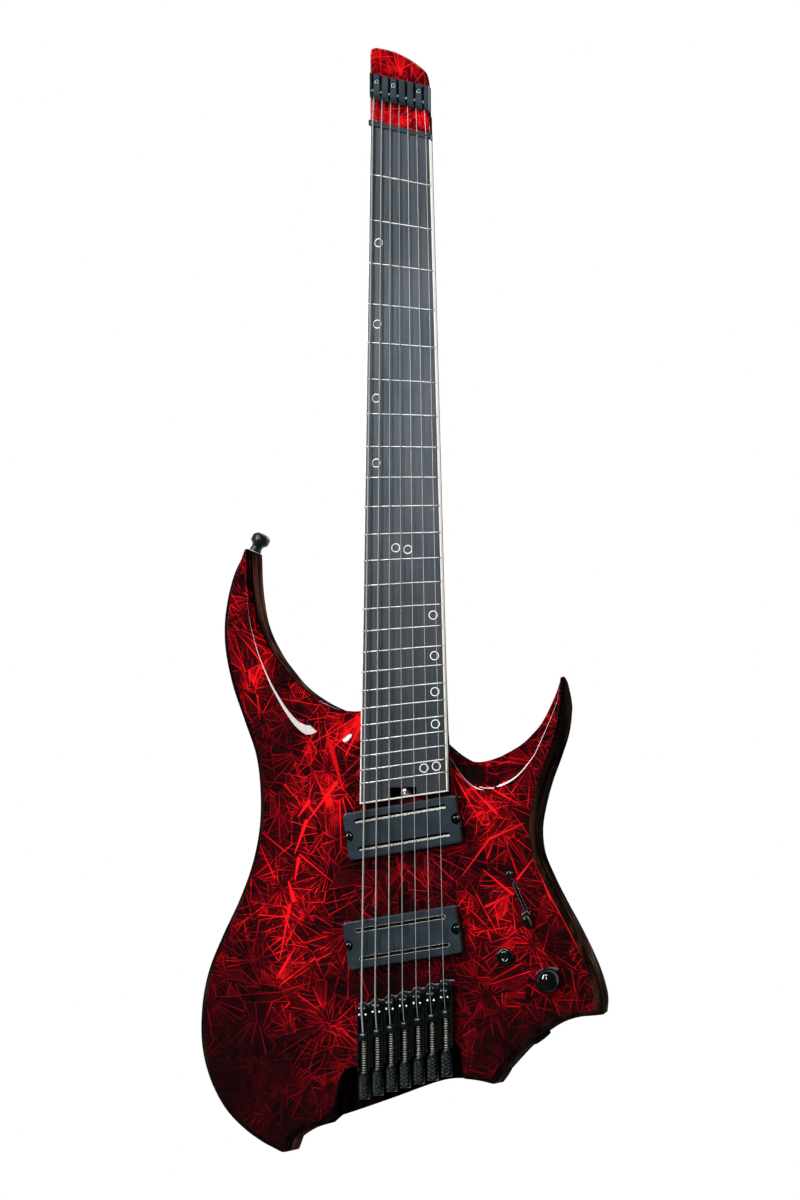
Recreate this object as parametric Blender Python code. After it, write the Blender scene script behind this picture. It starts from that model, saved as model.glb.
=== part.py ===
"""Headless seven-string electric guitar with fanned frets.

The guitar stands upright: Z runs up along the neck, X points to the treble side
and the front faces -Y. The origin lies on the flat back of the body, on the
centre line, level with the middle string's saddle. Dimensions are millimetres;
meshes are made in metres.
"""

import math

import bmesh
import bpy
from mathutils import Vector

MM = 0.001
GAP = 0.3
FAR = 60.0

# Scale, strings and frets
SCALE_BASS = 673.1
SCALE_TREBLE = 647.7
STRINGS = 7
FRETS = 24
NUT_SPREAD = 41.8
BRIDGE_SPREAD = 63.0
NUT_SLOPE = 0.30
STRING_DIAMETERS = [1.50, 1.17, 0.91, 0.66, 0.46, 0.40, 0.40]

# Neck and fretboard
NUT_HALF = 24.0
BRIDGE_HALF = 37.05
BOARD_END = 0.7725
BOARD_TOP = 49.0
BOARD_BACK = 43.0
BOARD_RADIUS = 400.0
BINDING = 1.5
NECK_FRONT = BOARD_BACK - GAP
NECK_WALL = 0.6
SHAFT_DEPTH = 14.0
HEEL_DEPTH = 22.7
ACROSS = 6
FRET_WIDTH = 2.4
FRET_HEIGHT = 1.1
NUT_LENGTH = 4.5
NUT_TOP = 50.0
NUT_END = 24.6
STRING_AT_NUT = 51.1
STRING_AT_SADDLE = 53.6

# Head
HEAD_FACE = 46.0
HEAD_START = -0.012
HEAD_HALF_BASS = 24.2
HEAD_HALF_TREBLE = 23.8
HEAD_ROUND = [(NECK_FRONT, 0.0), (40.0, 0.8), (35.5, 2.4), (31.0, 4.4), (29.3, 5.6)]
CLAMP_BELOW_NUT_LINE = 28.6
CLAMP_LENGTH = 19.5
CLAMP_TOP = 55.0
CLAMP_FOOT = HEAD_FACE + GAP
CLAMP_LEFT = -22.5
CLAMP_RIGHT = 24.2
CLAMP_SPREAD = 39.9
GROOVE = 2.4
GROOVE_FLOOR = 49.6

# Body
BODY_THICK = 40.0
CORE_FRONT = 28.0
TOP_BACK = CORE_FRONT + GAP
BACK_ROUND = 3.0
TAIL_FLOOR = CORE_FRONT
POCKET_FLOOR = NECK_FRONT - HEEL_DEPTH - GAP

# Pickups
PICKUP_LENGTH = 88.5
PICKUP_WIDTH = 36.0
PICKUP_TILT = math.radians(8.4)
PICKUP_BACK = 26.0
PICKUP_TOP = 49.6
PICKUP_CORNER = 3.0
PICKUP_CENTRES = {"neck": (-0.8, 127.7), "bridge": (-1.3, 46.2)}
SLOT_LENGTH = 71.5
SLOT_WIDTH = 3.6
SLOT_PITCH = 21.0

# Bridge units, measured rearwards from their front ends
UNIT_HALF = 5.1
UNIT_STEP = 2.82
UNIT_FIRST_FRONT = -1.5
UNIT_LENGTH = 50.8
UNIT_PLATE = 3.0
UNIT_WALL = 1.5
UNIT_TOP = 48.8
UNIT_FOOT = BODY_THICK + GAP
SADDLE_HALF = 3.2
PULLER_FRONT = 22.6
PULLER_REAR = 28.4
ROD_RADIUS = 2.0
ROD_AXIS = 46.2
ROD_REAR = 60.0
KNOB_FRONT = UNIT_LENGTH + 1.0
KNOB_REAR = 71.2
KNOB_RADIUS = 4.35

# Controls
SWITCH_CENTRE = (87.5, 73.3)
SWITCH_LEAN = math.radians(24.0)
LEVER_PIVOT = 16.0
LEVER_REST = math.radians(26.0)
BUTTON_CENTRE = (75.2, 31.6)
VOLUME_CENTRE = (108.5, 14.3)
CAVITY_FLOOR = 34.0
COVER_THICK = 2.2
JACK_POINT = (96.9, -26.4)
JACK_OUT = (0.611, -0.791)
JACK_DEPTH = 18.0
STRAP_AXIS = (0.452, 0.892)
STRAP_POINT = (-126.1, 344.6)
STRAP_DEPTH = 17.0
REAR_STRAP_POINT = (-86.0, -76.0)
PLATE_CENTRE = (-3.0, 174.0)
PLATE_SIZE = (46.0, 34.0)

# Body outline: (x, z, bevel width, bevel drop), each run smooth, corners between runs
LEFT_SIDE = [
    (-127.6, 345.3, 1.3, 8.0), (-130.8, 339.2, 2.2, 7.0), (-135.7, 328.6, 3.5, 5.0),
    (-139.4, 316.9, 3.5, 4.0), (-142.2, 303.0, 3.5, 3.0), (-143.9, 288.0, 3.5, 2.5), (-143.3, 268.0, 3.5, 2.2), (-137.6, 240.3, 3.5, 2.2),
    (-127.9, 212.4, 3.5, 2.2), (-118.4, 184.7, 3.5, 2.2), (-115.1, 157.0, 3.5, 2.2),
    (-115.8, 130.0, 3.5, 2.2), (-121.4, 102.6, 3.5, 2.2), (-131.7, 75.4, 3.5, 2.2),
    (-145.0, 48.3, 3.5, 2.2), (-156.3, 21.2, 4.0, 2.5), (-161.6, -6.0, 4.5, 3.0),
    (-161.3, -35.0, 4.5, 3.0), (-154.6, -60.0, 4.5, 3.0), (-142.5, -81.5, 4.5, 3.0),
    (-128.3, -95.7, 4.5, 3.0), (-114.0, -105.5, 4.0, 3.0), (-103.1, -110.9, 3.5, 3.0),
    (-98.2, -113.2, 3.5, 3.0), (-94.8, -112.9, 3.5, 3.0)]
LOBE_EDGE = [(-94.8, -112.9, 3.5, 3.0), (-92.9, -108.4, 3.5, 3.0), (-91.0, -103.0, 3.5, 3.0)]
LOBE_TO_TAIL = [
    (-91.0, -103.0, 3.5, 3.0), (-83.4, -98.1, 3.5, 3.0), (-77.1, -95.4, 3.5, 3.0),
    (-66.3, -92.4, 3.5, 3.0)]
TAIL_STEP = [(-66.3, -92.4, 3.5, 3.0), (-60.0, -87.0, 3.5, 3.0)]
TAIL = [
    (-60.0, -87.0, 3.5, 3.0), (-46.0, -82.5, 3.5, 3.0), (-15.0, -71.9, 3.5, 3.0),
    (0.6, -66.2, 3.5, 3.0), (13.0, -62.0, 3.5, 3.0), (24.0, -59.3, 3.5, 3.0),
    (36.0, -57.8, 3.5, 3.0), (52.0, -59.0, 3.5, 3.0), (64.8, -61.6, 3.5, 3.0)]
TAIL_CORNER = [(64.8, -61.6, 3.5, 3.0), (68.9, -56.4, 3.5, 3.0), (72.0, -51.1, 3.5, 3.0)]
RIGHT_HOLLOW = [
    (72.0, -51.1, 3.5, 3.0), (87.0, -35.5, 3.5, 3.0), (100.2, -23.9, 3.5, 3.0),
    (113.4, -16.2, 3.5, 3.0), (126.6, -12.7, 3.5, 3.0), (141.6, -11.4, 3.5, 3.0)]
RIGHT_SIDE = [
    (144.9, -9.0, 4.0, 3.0), (145.6, 2.3, 4.5, 3.0), (141.1, 20.1, 4.0, 3.0),
    (133.7, 37.9, 3.5, 2.5), (124.8, 55.8, 3.5, 2.2), (115.1, 73.7, 3.5, 2.2),
    (106.1, 91.8, 3.5, 2.2), (98.9, 109.8, 3.5, 2.2), (97.3, 127.9, 3.5, 2.2),
    (100.4, 145.9, 3.5, 2.2), (105.6, 163.9, 3.5, 2.2), (112.5, 181.9, 3.5, 2.5),
    (118.4, 199.9, 3.5, 3.0), (120.6, 217.0, 2.5, 4.5), (120.9, 230.0, 1.6, 6.0),
    (120.6, 236.8, 1.1, 7.0), (119.5, 239.6, 1.0, 7.0)]
RIGHT_HORN = [
    (118.2, 238.4, 1.0, 7.0), (115.2, 229.4, 1.7, 6.5), (112.2, 221.9, 2.8, 6.0),
    (108.0, 213.0, 4.6, 5.5), (102.8, 204.2, 7.5, 5.5), (97.2, 197.9, 11.0, 6.0),
    (88.2, 190.0, 16.0, 7.0),
    (79.0, 184.8, 22.0, 8.0), (69.5, 180.4, 25.0, 9.0), (62.0, 178.2, 24.0, 9.0),
    (55.0, 177.0, 20.0, 8.0), (47.3, 177.8, 15.0, 6.0), (40.4, 180.8, 12.0, 5.0),
    (32.5, 186.2, 9.0, 4.0), (20.0, 197.0, 9.0, 4.0), (0.0, 210.0, 9.0, 4.0),
    (-20.0, 216.0, 10.0, 4.0), (-32.0, 217.2, 14.0, 5.0), (-42.0, 217.2, 17.0, 6.0),
    (-50.5, 218.3, 24.0, 8.0), (-60.4, 222.0, 27.0, 9.0), (-70.0, 227.0, 26.0, 9.0),
    (-80.0, 233.6, 22.0, 8.0), (-89.3, 241.7, 18.0, 7.0), (-97.3, 251.3, 14.0, 6.0),
    (-104.6, 260.8, 11.0, 5.5), (-110.3, 270.3, 8.5, 5.0), (-115.1, 279.8, 6.0, 4.5),
    (-118.8, 290.0, 4.5, 4.5), (-121.8, 305.0, 3.5, 4.5), (-123.6, 321.0, 3.0, 5.5),
    (-124.2, 335.0, 2.0, 7.0), (-124.6, 343.8, 1.3, 8.0)]
BODY_RUNS = [LEFT_SIDE, LOBE_EDGE, LOBE_TO_TAIL, TAIL_STEP, TAIL, TAIL_CORNER,
             RIGHT_HOLLOW, RIGHT_SIDE, RIGHT_HORN]
OUTLINE_STEP = 8.0

TAIL_RECESS = [(-48.2, -51.0), (34.6, -28.8), (41.0, -36.0), (45.0, -90.0),
               (-66.0, -120.0), (-52.0, -57.0)]
CONTROL_CAVITY = [
    (64.0, 97.0), (90.0, 100.0), (97.0, 80.0), (109.0, 58.0), (119.0, 36.0),
    (127.0, 18.0), (127.0, 3.0), (110.0, -4.0), (84.0, -20.0), (70.0, -20.0), (63.0, 6.0)]
HEAD_CURVE = [(-19.8, 730.0), (-15.2, 728.9), (-5.3, 725.6), (5.4, 719.8), (14.5, 713.0),
              (19.9, 707.6), (22.0, 701.0), (23.0, 687.5)]
HEAD_LEFT_TOP = [(-24.0, 724.5), (-23.2, 728.6)]
HORN_RELIEF = [(-5.0, 211.0), (0.0, 211.0), (2.0, 218.0), (7.0, 225.0), (22.0, 238.0),
               (30.0, 246.0), (-5.0, 246.0)]


def material(name, colour, roughness, metallic=0.0):
    """Principled material, made once for each name."""
    found = bpy.data.materials.get(name)
    if found:
        return found
    made = bpy.data.materials.new(name)
    made.use_nodes = True
    shader = made.node_tree.nodes["Principled BSDF"]
    shader.inputs["Base Color"].default_value = (*colour, 1.0)
    shader.inputs["Roughness"].default_value = roughness
    shader.inputs["Metallic"].default_value = metallic
    return made


def dark_wood():
    return material("dark_wood", (0.035, 0.02, 0.015), 0.35)


def red_finish():
    return material("red_finish", (0.45, 0.01, 0.015), 0.15)


def black_metal():
    return material("black_metal", (0.02, 0.025, 0.028), 0.35, 0.8)


def bright_metal():
    return material("bright_metal", (0.75, 0.74, 0.72), 0.25, 1.0)


def black_plastic():
    return material("black_plastic", (0.02, 0.024, 0.028), 0.4)


def make_object(name, points, faces, finish=None, origin=(0, 0, 0), sharp=35.0):
    """Closed mesh object from points in millimetres; origin is its own origin."""
    mesh = bpy.data.meshes.new(name)
    local = [(Vector(p) - Vector(origin)) * MM for p in points]
    mesh.from_pydata(local, [], faces)
    form = bmesh.new()
    form.from_mesh(mesh)
    bmesh.ops.recalc_face_normals(form, faces=form.faces)
    form.to_mesh(mesh)
    form.free()
    mesh.shade_smooth()
    mesh.set_sharp_from_angle(angle=math.radians(sharp))
    made = bpy.data.objects.new(name, mesh)
    made.location = Vector(origin) * MM
    bpy.context.scene.collection.objects.link(made)
    if finish:
        mesh.materials.append(finish)
    return made


def cutter(name, shape):
    """Hidden tool for a Boolean; shape is (points, faces)."""
    made = make_object(name, *shape)
    made.hide_render = True
    made.display_type = "WIRE"
    return made


def combine(target, tool, operation="DIFFERENCE"):
    change = target.modifiers.new(tool.name, "BOOLEAN")
    change.operation = operation
    change.solver = "EXACT"
    change.object = tool


def loft(rings):
    """Skin over rings of equal length, with both ends filled."""
    count = len(rings[0])
    points = [p for ring in rings for p in ring]
    faces = [list(range(count))]
    for level in range(len(rings) - 1):
        base = level * count
        for k in range(count):
            following = (k + 1) % count
            faces.append([base + k, base + following,
                          base + count + following, base + count + k])
    last = (len(rings) - 1) * count
    faces.append([last + k for k in reversed(range(count))])
    return points, faces


def group(shapes):
    """Several closed shapes as one list of points and faces."""
    points = []
    faces = []
    for shape_points, shape_faces in shapes:
        base = len(points)
        points += shape_points
        faces += [[base + k for k in face] for face in shape_faces]
    return points, faces


def plate(loop, back, front):
    """Flat plate of an (x, z) loop between two depths measured forward from the back."""
    return loft([[(x, -back, z) for x, z in loop], [(x, -front, z) for x, z in loop]])


def box(x0, x1, back, front, z0, z1):
    return plate([(x0, z0), (x1, z0), (x1, z1), (x0, z1)], back, front)


def turned(profile, centre, axis, sides=24):
    """Closed solid turned from (radius, height) pairs about an axis; ends need radius > 0."""
    axis = Vector(axis).normalized()
    side = axis.orthogonal().normalized()
    other = axis.cross(side)
    rings = []
    for radius, height in profile:
        middle = Vector(centre) + axis * height
        rings.append([tuple(middle + (side * math.cos(a) + other * math.sin(a)) * radius)
                      for a in (2 * math.pi * k / sides for k in range(sides))])
    return loft(rings)


def smooth_run(run, step):
    """Points along a centripetal Catmull-Rom curve through a run, without its last point."""
    points = [Vector(p) for p in run]
    points = [2 * points[0] - points[1]] + points + [2 * points[-1] - points[-2]]
    result = []
    for before, start, end, after in zip(points, points[1:], points[2:], points[3:]):
        length = (end.xy - start.xy).length
        knots = [0.0]
        for a, b in ((before, start), (start, end), (end, after)):
            knots.append(knots[-1] + max((b.xy - a.xy).length, 0.01) ** 0.5)
        pieces = max(1, round(length / step))
        for k in range(pieces):
            t = knots[1] + (knots[2] - knots[1]) * k / pieces
            result.append(blend_four((before, start, end, after), knots, t))
    return result


def blend_four(points, knots, t):
    """Barry-Goldman form of the Catmull-Rom curve."""
    def mix(a, b, low, high):
        return a * ((high - t) / (high - low)) + b * ((t - low) / (high - low))
    p0, p1, p2, p3 = points
    k0, k1, k2, k3 = knots
    a1 = mix(p0, p1, k0, k1)
    a2 = mix(p1, p2, k1, k2)
    a3 = mix(p2, p3, k2, k3)
    return mix(mix(a1, a2, k0, k2), mix(a2, a3, k1, k3), k1, k2)


def body_outline(step=OUTLINE_STEP):
    """Closed outline of (x, z, bevel width, bevel drop)."""
    outline = []
    for index, run in enumerate(BODY_RUNS):
        outline += smooth_run(run, step)
        following = BODY_RUNS[(index + 1) % len(BODY_RUNS)]
        if (Vector(following[0]).xy - Vector(run[-1]).xy).length > 0.1:
            outline.append(Vector(run[-1]))
    return outline


def inset(loop, distances):
    """Move each point of a closed (x, z) loop inward by its own distance."""
    turning = sum(a[0] * b[1] - b[0] * a[1] for a, b in zip(loop, loop[1:] + loop[:1]))
    sign = 1.0 if turning > 0 else -1.0
    result = []
    for k, point in enumerate(loop):
        ahead = Vector(loop[(k + 1) % len(loop)][:2]) - Vector(point[:2])
        behind = Vector(point[:2]) - Vector(loop[k - 1][:2])
        first = Vector((-behind.y, behind.x)).normalized() * sign
        second = Vector((-ahead.y, ahead.x)).normalized() * sign
        miter = (first + second) / max(1.0 + first.dot(second), 0.6)
        result.append(tuple(Vector(point[:2]) + miter * distances[k]))
    return result


def fan(t, u, half=None):
    """(x, z) on the fanned line t (0 nut, 1 bridge); u from -1 bass edge to +1 treble edge."""
    edge = NUT_HALF + (BRIDGE_HALF - NUT_HALF) * t
    x = u * (edge if half is None else half)
    nut = nut_height() - NUT_SLOPE * x * NUT_HALF / edge
    bridge = bridge_slope() * x * BRIDGE_HALF / edge
    return x, nut + (bridge - nut) * t


def fan_half(t):
    return NUT_HALF + (BRIDGE_HALF - NUT_HALF) * t


def nut_height():
    """Height of the nut line on the centre line, from the mean scale of the outer strings."""
    mean = (SCALE_BASS + SCALE_TREBLE) / 2
    return math.sqrt(mean ** 2 - ((BRIDGE_SPREAD - NUT_SPREAD) / 2) ** 2)


def bridge_slope():
    return (SCALE_BASS - SCALE_TREBLE - NUT_SLOPE * NUT_SPREAD) / BRIDGE_SPREAD


def crown(x, top=BOARD_TOP):
    """Depth of the rounded fretboard surface at x."""
    return top - x * x / (2 * BOARD_RADIUS)


def string_x(index, spread):
    return spread * (index / (STRINGS - 1) - 0.5)


def round_rectangle(centre, size, corner, tilt=0.0, steps=2):
    """Rectangle loop with rounded corners, turned by tilt."""
    loop = []
    half_x = size[0] / 2 - corner
    half_z = size[1] / 2 - corner
    for quarter, (sx, sz) in enumerate(((1, 1), (-1, 1), (-1, -1), (1, -1))):
        for k in range(steps + 1):
            angle = math.pi / 2 * (quarter + k / steps)
            x = sx * half_x + corner * math.cos(angle)
            z = sz * half_z + corner * math.sin(angle)
            loop.append((centre[0] + x * math.cos(tilt) - z * math.sin(tilt),
                         centre[1] + x * math.sin(tilt) + z * math.cos(tilt)))
    return loop


def neck_pocket():
    loop = [fan(BOARD_END + 0.0012, -1, fan_half(BOARD_END) + GAP),
            fan(BOARD_END + 0.0012, 1, fan_half(BOARD_END) + GAP),
            fan(0.62, 1, fan_half(0.62) + GAP),
            fan(0.62, -1, fan_half(0.62) + GAP)]
    return plate(loop, POCKET_FLOOR, FAR)


def pickup_cavity(name):
    size = (PICKUP_LENGTH + 1.2, PICKUP_WIDTH + 1.2)
    loop = round_rectangle(PICKUP_CENTRES[name], size, PICKUP_CORNER + 0.6, PICKUP_TILT)
    return plate(loop, PICKUP_BACK - 1.0, FAR)


def plate_bolts(radius, back, front):
    """Four screws in the corners of the neck plate."""
    inset_x = PLATE_SIZE[0] / 2 - 6.5
    inset_z = PLATE_SIZE[1] / 2 - 6.5
    return group([turned([(radius, back), (radius, front)],
                         (PLATE_CENTRE[0] + sx * inset_x, 0, PLATE_CENTRE[1] + sz * inset_z),
                         (0, -1, 0), 12)
                  for sx in (-1, 1) for sz in (-1, 1)])


def switch_point(along, across):
    """(x, z) near the switch: along its slot towards the tail, and across it."""
    return (SWITCH_CENTRE[0] + along * math.sin(SWITCH_LEAN) + across * math.cos(SWITCH_LEAN),
            SWITCH_CENTRE[1] - along * math.cos(SWITCH_LEAN) + across * math.sin(SWITCH_LEAN))


def switch_box(length, width, back, front):
    corners = ((-1, -1), (1, -1), (1, 1), (-1, 1))
    loop = [switch_point(a * length / 2, b * width / 2) for a, b in corners]
    return plate(loop, back, front)


def body_cutters():
    """Every recess that passes through core and top, by name."""
    shapes = {
        "neck_pocket": neck_pocket(),
        "neck_pickup_cavity": pickup_cavity("neck"),
        "bridge_pickup_cavity": pickup_cavity("bridge"),
        "control_cavity": plate(CONTROL_CAVITY, -FAR, CAVITY_FLOOR)}
    return {name: cutter("cut_" + name, shape) for name, shape in shapes.items()}


def body_core(cuts):
    outline = body_outline()
    loop = [tuple(p[:2]) for p in outline]
    rounds = [min(BACK_ROUND, p[2] * 0.8) for p in outline]
    back_loop = inset(loop, rounds)
    middle_loop = inset(loop, [r * 0.3 for r in rounds])
    shape = loft([[(x, 0.0, z) for x, z in back_loop],
                  [(x, -BACK_ROUND * 0.3, z) for x, z in middle_loop],
                  [(x, -BACK_ROUND, z) for x, z in loop],
                  [(x, -CORE_FRONT, z) for x, z in loop]])
    core = make_object("body_core", *shape, dark_wood())
    for tool in cuts.values():
        combine(core, tool)
    lip = inset(CONTROL_CAVITY, [-5.0] * len(CONTROL_CAVITY))
    combine(core, cutter("cut_cover_seat", plate(lip, -FAR, COVER_THICK + GAP)))
    combine(core, cutter("cut_core_bolts", plate_bolts(2.6, -FAR, FAR)))
    combine(core, cutter("cut_horn_relief", horn_relief()))
    jack = turned([(6.2, -40.0), (6.2, 20.0)], jack_centre(), (JACK_OUT[0], 0, JACK_OUT[1]), 20)
    combine(core, cutter("cut_jack_bore", jack))
    return core


def horn_relief():
    """Wedge that thins the treble horn from behind towards its tip."""
    return loft([[(x, -depth, z) for depth, z in HORN_RELIEF] for x in (95.0, 135.0)])


def body_top(cuts):
    """Carved cap: rings from the side wall up the bevel to the flat front."""
    outline = body_outline()
    loop = [tuple(p[:2]) for p in outline]
    widths = [p[2] for p in outline]
    drops = [p[3] for p in outline]
    shoulder = [min(1.3, w * 0.3) for w in widths]
    middle = inset(loop, shoulder)
    inner = inset(loop, widths)
    rise = [0.72 if w > 6 else 0.35 for w in widths]
    shape = loft([
        [(x, -TOP_BACK, z) for x, z in loop],
        [(x, -(BODY_THICK - d), z) for (x, z), d in zip(loop, drops)],
        [(x, -(BODY_THICK - d * r), z) for (x, z), d, r in zip(middle, drops, rise)],
        [(x, -BODY_THICK, z) for x, z in inner]])
    top = make_object("body_top", *shape, red_finish())
    for tool in cuts.values():
        combine(top, tool)
    combine(top, cutter("cut_tail_recess", plate(TAIL_RECESS, TAIL_FLOOR - 5, FAR)))
    combine(top, cutter("cut_switch_slot", switch_box(30.4, 2.8, 20.0, FAR)))
    holes = group([
        turned([(5.9, 20.0), (5.9, FAR)], (BUTTON_CENTRE[0], 0, BUTTON_CENTRE[1]), (0, -1, 0)),
        turned([(4.3, 20.0), (4.3, FAR)], (VOLUME_CENTRE[0], 0, VOLUME_CENTRE[1]), (0, -1, 0))])
    combine(top, cutter("cut_control_holes", holes))
    return top


def neck_section(t, depth, bass_power, treble_power):
    """Back-rounded neck section; a high power gives one side of the square heel."""
    half = fan_half(t)
    steps = 12
    ring = []
    for k in range(steps + 1):
        angle = math.pi * k / steps
        power = bass_power if k < steps / 2 else treble_power
        across = -math.copysign(abs(math.cos(angle)) ** (2 / power), math.cos(angle))
        below = math.sin(angle) ** (2 / power) * (depth - NECK_WALL)
        x, z = fan(t, across)
        ring.append((x, -(NECK_FRONT - NECK_WALL - below), z))
    for u in (1, -1):
        x, z = fan(t, u, half)
        ring.append((x, -NECK_FRONT, z))
    return ring


def head_outline():
    """Head loop from just above the nut, bass side first."""
    return ([fan(HEAD_START, -1, HEAD_HALF_BASS)] + HEAD_LEFT_TOP + HEAD_CURVE
            + [fan(HEAD_START, 1, HEAD_HALF_TREBLE)])


def wheel_recess():
    foot = fan(BOARD_END, 0)[1]
    return box(-10.5, 10.5, 33.6, FAR, foot - 12.0, foot + 8.0)


def neck():
    stations = [(-0.030, 13.0, 2.1, 2.1), (0.0, SHAFT_DEPTH, 2.0, 2.0), (0.30, 15.0, 2.0, 2.0),
                (0.56, 16.0, 2.1, 2.1), (0.64, 18.0, 2.8, 2.1), (0.675, 20.5, 7.0, 2.2),
                (0.70, 22.0, 9.0, 2.3), (0.722, HEEL_DEPTH, 9.0, 3.0),
                (0.735, HEEL_DEPTH, 9.0, 9.0), (BOARD_END, HEEL_DEPTH, 9.0, 9.0)]
    shaft = loft([neck_section(*station) for station in stations])
    made = make_object("neck", *shaft, dark_wood())
    loop = head_outline()
    rings = [[(x, -depth, z) for x, z in inset(loop, [narrower] * len(loop))]
             for depth, narrower in HEAD_ROUND]
    head = cutter("join_head", loft(rings))
    combine(made, head, "UNION")
    channel = box(-3.2, 3.2, 36.2, FAR, 145.0, nut_height() - 12.0)
    combine(made, cutter("cut_rod_channel", channel))
    combine(made, cutter("cut_wheel_recess", wheel_recess()))
    combine(made, cutter("cut_neck_bolts", plate_bolts(2.4, 0.0, 34.5)))
    return made


def board_section(t, u_edge, lift=0.0, back=BOARD_BACK):
    """Rounded fretboard section across line t, out to x = u_edge on both sides."""
    upper = []
    lower = []
    for k in range(ACROSS + 1):
        x, z = fan(t, 2 * k / ACROSS - 1, u_edge)
        upper.append((x, -(crown(x) + lift), z))
        lower.append((x, -back, z))
    return upper + lower[::-1]


def along_offset(t, distance):
    """Fan value that lies distance further along the neck than t."""
    return t + distance / nut_height()


def fretboard():
    """Board with its frets; the wheel notch is cut from its end."""
    half_start = fan_half(0) - BINDING - GAP
    end = along_offset(BOARD_END, -BINDING - GAP)
    half_end = fan_half(end) - BINDING - GAP
    finish = material("fretboard_wood", (0.045, 0.055, 0.065), 0.55)
    board = make_object("fretboard", *loft([board_section(0.0, half_start),
                                            board_section(end, half_end)]), finish)
    bars = []
    for number in range(1, FRETS + 1):
        t = 1 - 2 ** (-number / 12)
        half = fan_half(t) - BINDING - GAP - 0.2
        bars.append(loft([board_section(along_offset(t, shift), half, FRET_HEIGHT, 47.0)
                          for shift in (-FRET_WIDTH / 2, FRET_WIDTH / 2)]))
    combine(board, cutter("join_frets", group(bars)), "UNION")
    combine(board, cutter("cut_board_notch", wheel_recess()))
    return board


def fretboard_binding():
    """Cream strip round the two sides and the end of the board."""
    end = BOARD_END
    inner_end = along_offset(BOARD_END, -BINDING)
    outer = [fan(0.0, -1), *[fan(end, 2 * k / ACROSS - 1) for k in range(ACROSS + 1)], fan(0.0, 1)]
    inner = [fan(0.0, -1, fan_half(0) - BINDING)]
    inner += [fan(inner_end, 2 * k / ACROSS - 1, fan_half(inner_end) - BINDING)
              for k in range(ACROSS + 1)]
    inner += [fan(0.0, 1, fan_half(0) - BINDING)]
    count = len(outer)
    points = [(x, -crown(x), z) for x, z in outer] + [(x, -crown(x), z) for x, z in inner]
    points += [(x, -BOARD_BACK, z) for x, z in outer] + [(x, -BOARD_BACK, z) for x, z in inner]
    faces = []
    for k in range(count - 1):
        for a, b in ((0, count), (2 * count, 3 * count), (0, 2 * count), (count, 3 * count)):
            faces.append([a + k, a + k + 1, b + k + 1, b + k])
    for k in (0, count - 1):
        faces.append([k, count + k, 3 * count + k, 2 * count + k])
    finish = material("cream_binding", (0.75, 0.70, 0.58), 0.35)
    strip = make_object("fretboard_binding", points, faces, finish)
    combine(strip, cutter("cut_binding_notch", wheel_recess_in_binding()))
    return strip


def wheel_recess_in_binding():
    """Shallow seat under the end strip, so that the wheel turns clear of it."""
    foot = fan(BOARD_END, 0)[1]
    return box(-10.5, 10.5, 30.0, 45.0, foot - 12.0, foot + 8.0)


def nut():
    start = along_offset(0.0, -NUT_LENGTH)
    end = along_offset(0.0, -GAP)
    rings = []
    for t in (start, end):
        ring = [(x, -BOARD_BACK, z) for x, z in (fan(t, 1, NUT_END), fan(t, -1, NUT_END))]
        ring += [(x, -crown(x, NUT_TOP), z) for x, z in
                 (fan(t, 2 * k / ACROSS - 1, NUT_END) for k in range(ACROSS + 1))]
        rings.append(ring)
    return make_object("nut", *loft(rings), black_plastic())


def truss_rod():
    foot = fan(BOARD_END, 0)[1] + 8.6
    shape = box(-2.8, 2.8, 36.6, 42.2, foot, nut_height() - 14.0)
    make_object("truss_rod", *shape, bright_metal())


def truss_wheel():
    foot = fan(BOARD_END, 0)[1]
    centre = (0.0, -39.4, foot + 1.6)
    profile = [(4.3, 0.0), (4.6, 0.4), (4.6, 5.4), (4.3, 5.8), (1.8, 5.8), (1.8, 6.4)]
    shape = turned(profile, centre, (0, 0, 1), 20)
    make_object("truss_wheel", *shape, bright_metal(), centre)


def head_overlay():
    """Red cap on the head, from just above the nut."""
    start = along_offset(0.0, -NUT_LENGTH - GAP)
    loop = ([fan(start, -1, HEAD_HALF_BASS)] + HEAD_LEFT_TOP + HEAD_CURVE
            + [fan(start, 1, HEAD_HALF_TREBLE)])
    top_loop = inset(loop, [0.8] * len(loop))
    shape = loft([[(x, -BOARD_BACK, z) for x, z in loop],
                  [(x, -(HEAD_FACE - 0.8), z) for x, z in loop],
                  [(x, -HEAD_FACE, z) for x, z in top_loop]])
    make_object("head_overlay", *shape, red_finish())


def clamp_edge(x, along):
    """Height of the clamp block at x, along from its lower edge."""
    return nut_height() - NUT_SLOPE * x + CLAMP_BELOW_NUT_LINE - 7.0 + along


def clamp_groove(index):
    x = string_x(index, CLAMP_SPREAD)
    return box(x - GROOVE / 2, x + GROOVE / 2, GROOVE_FLOOR, FAR,
               clamp_edge(x, -10.0), clamp_edge(x, CLAMP_LENGTH + 10.0))


def clamp_screws():
    """Seven set screws that bridge the grooves and press on the strings."""
    return group([turned([(1.7, STRING_AT_NUT + 1.3), (1.7, CLAMP_TOP + 0.2)],
                         (string_x(k, CLAMP_SPREAD), 0,
                          clamp_edge(string_x(k, CLAMP_SPREAD), 5.0)), (0, -1, 0), 10)
                  for k in range(STRINGS)])


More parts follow.
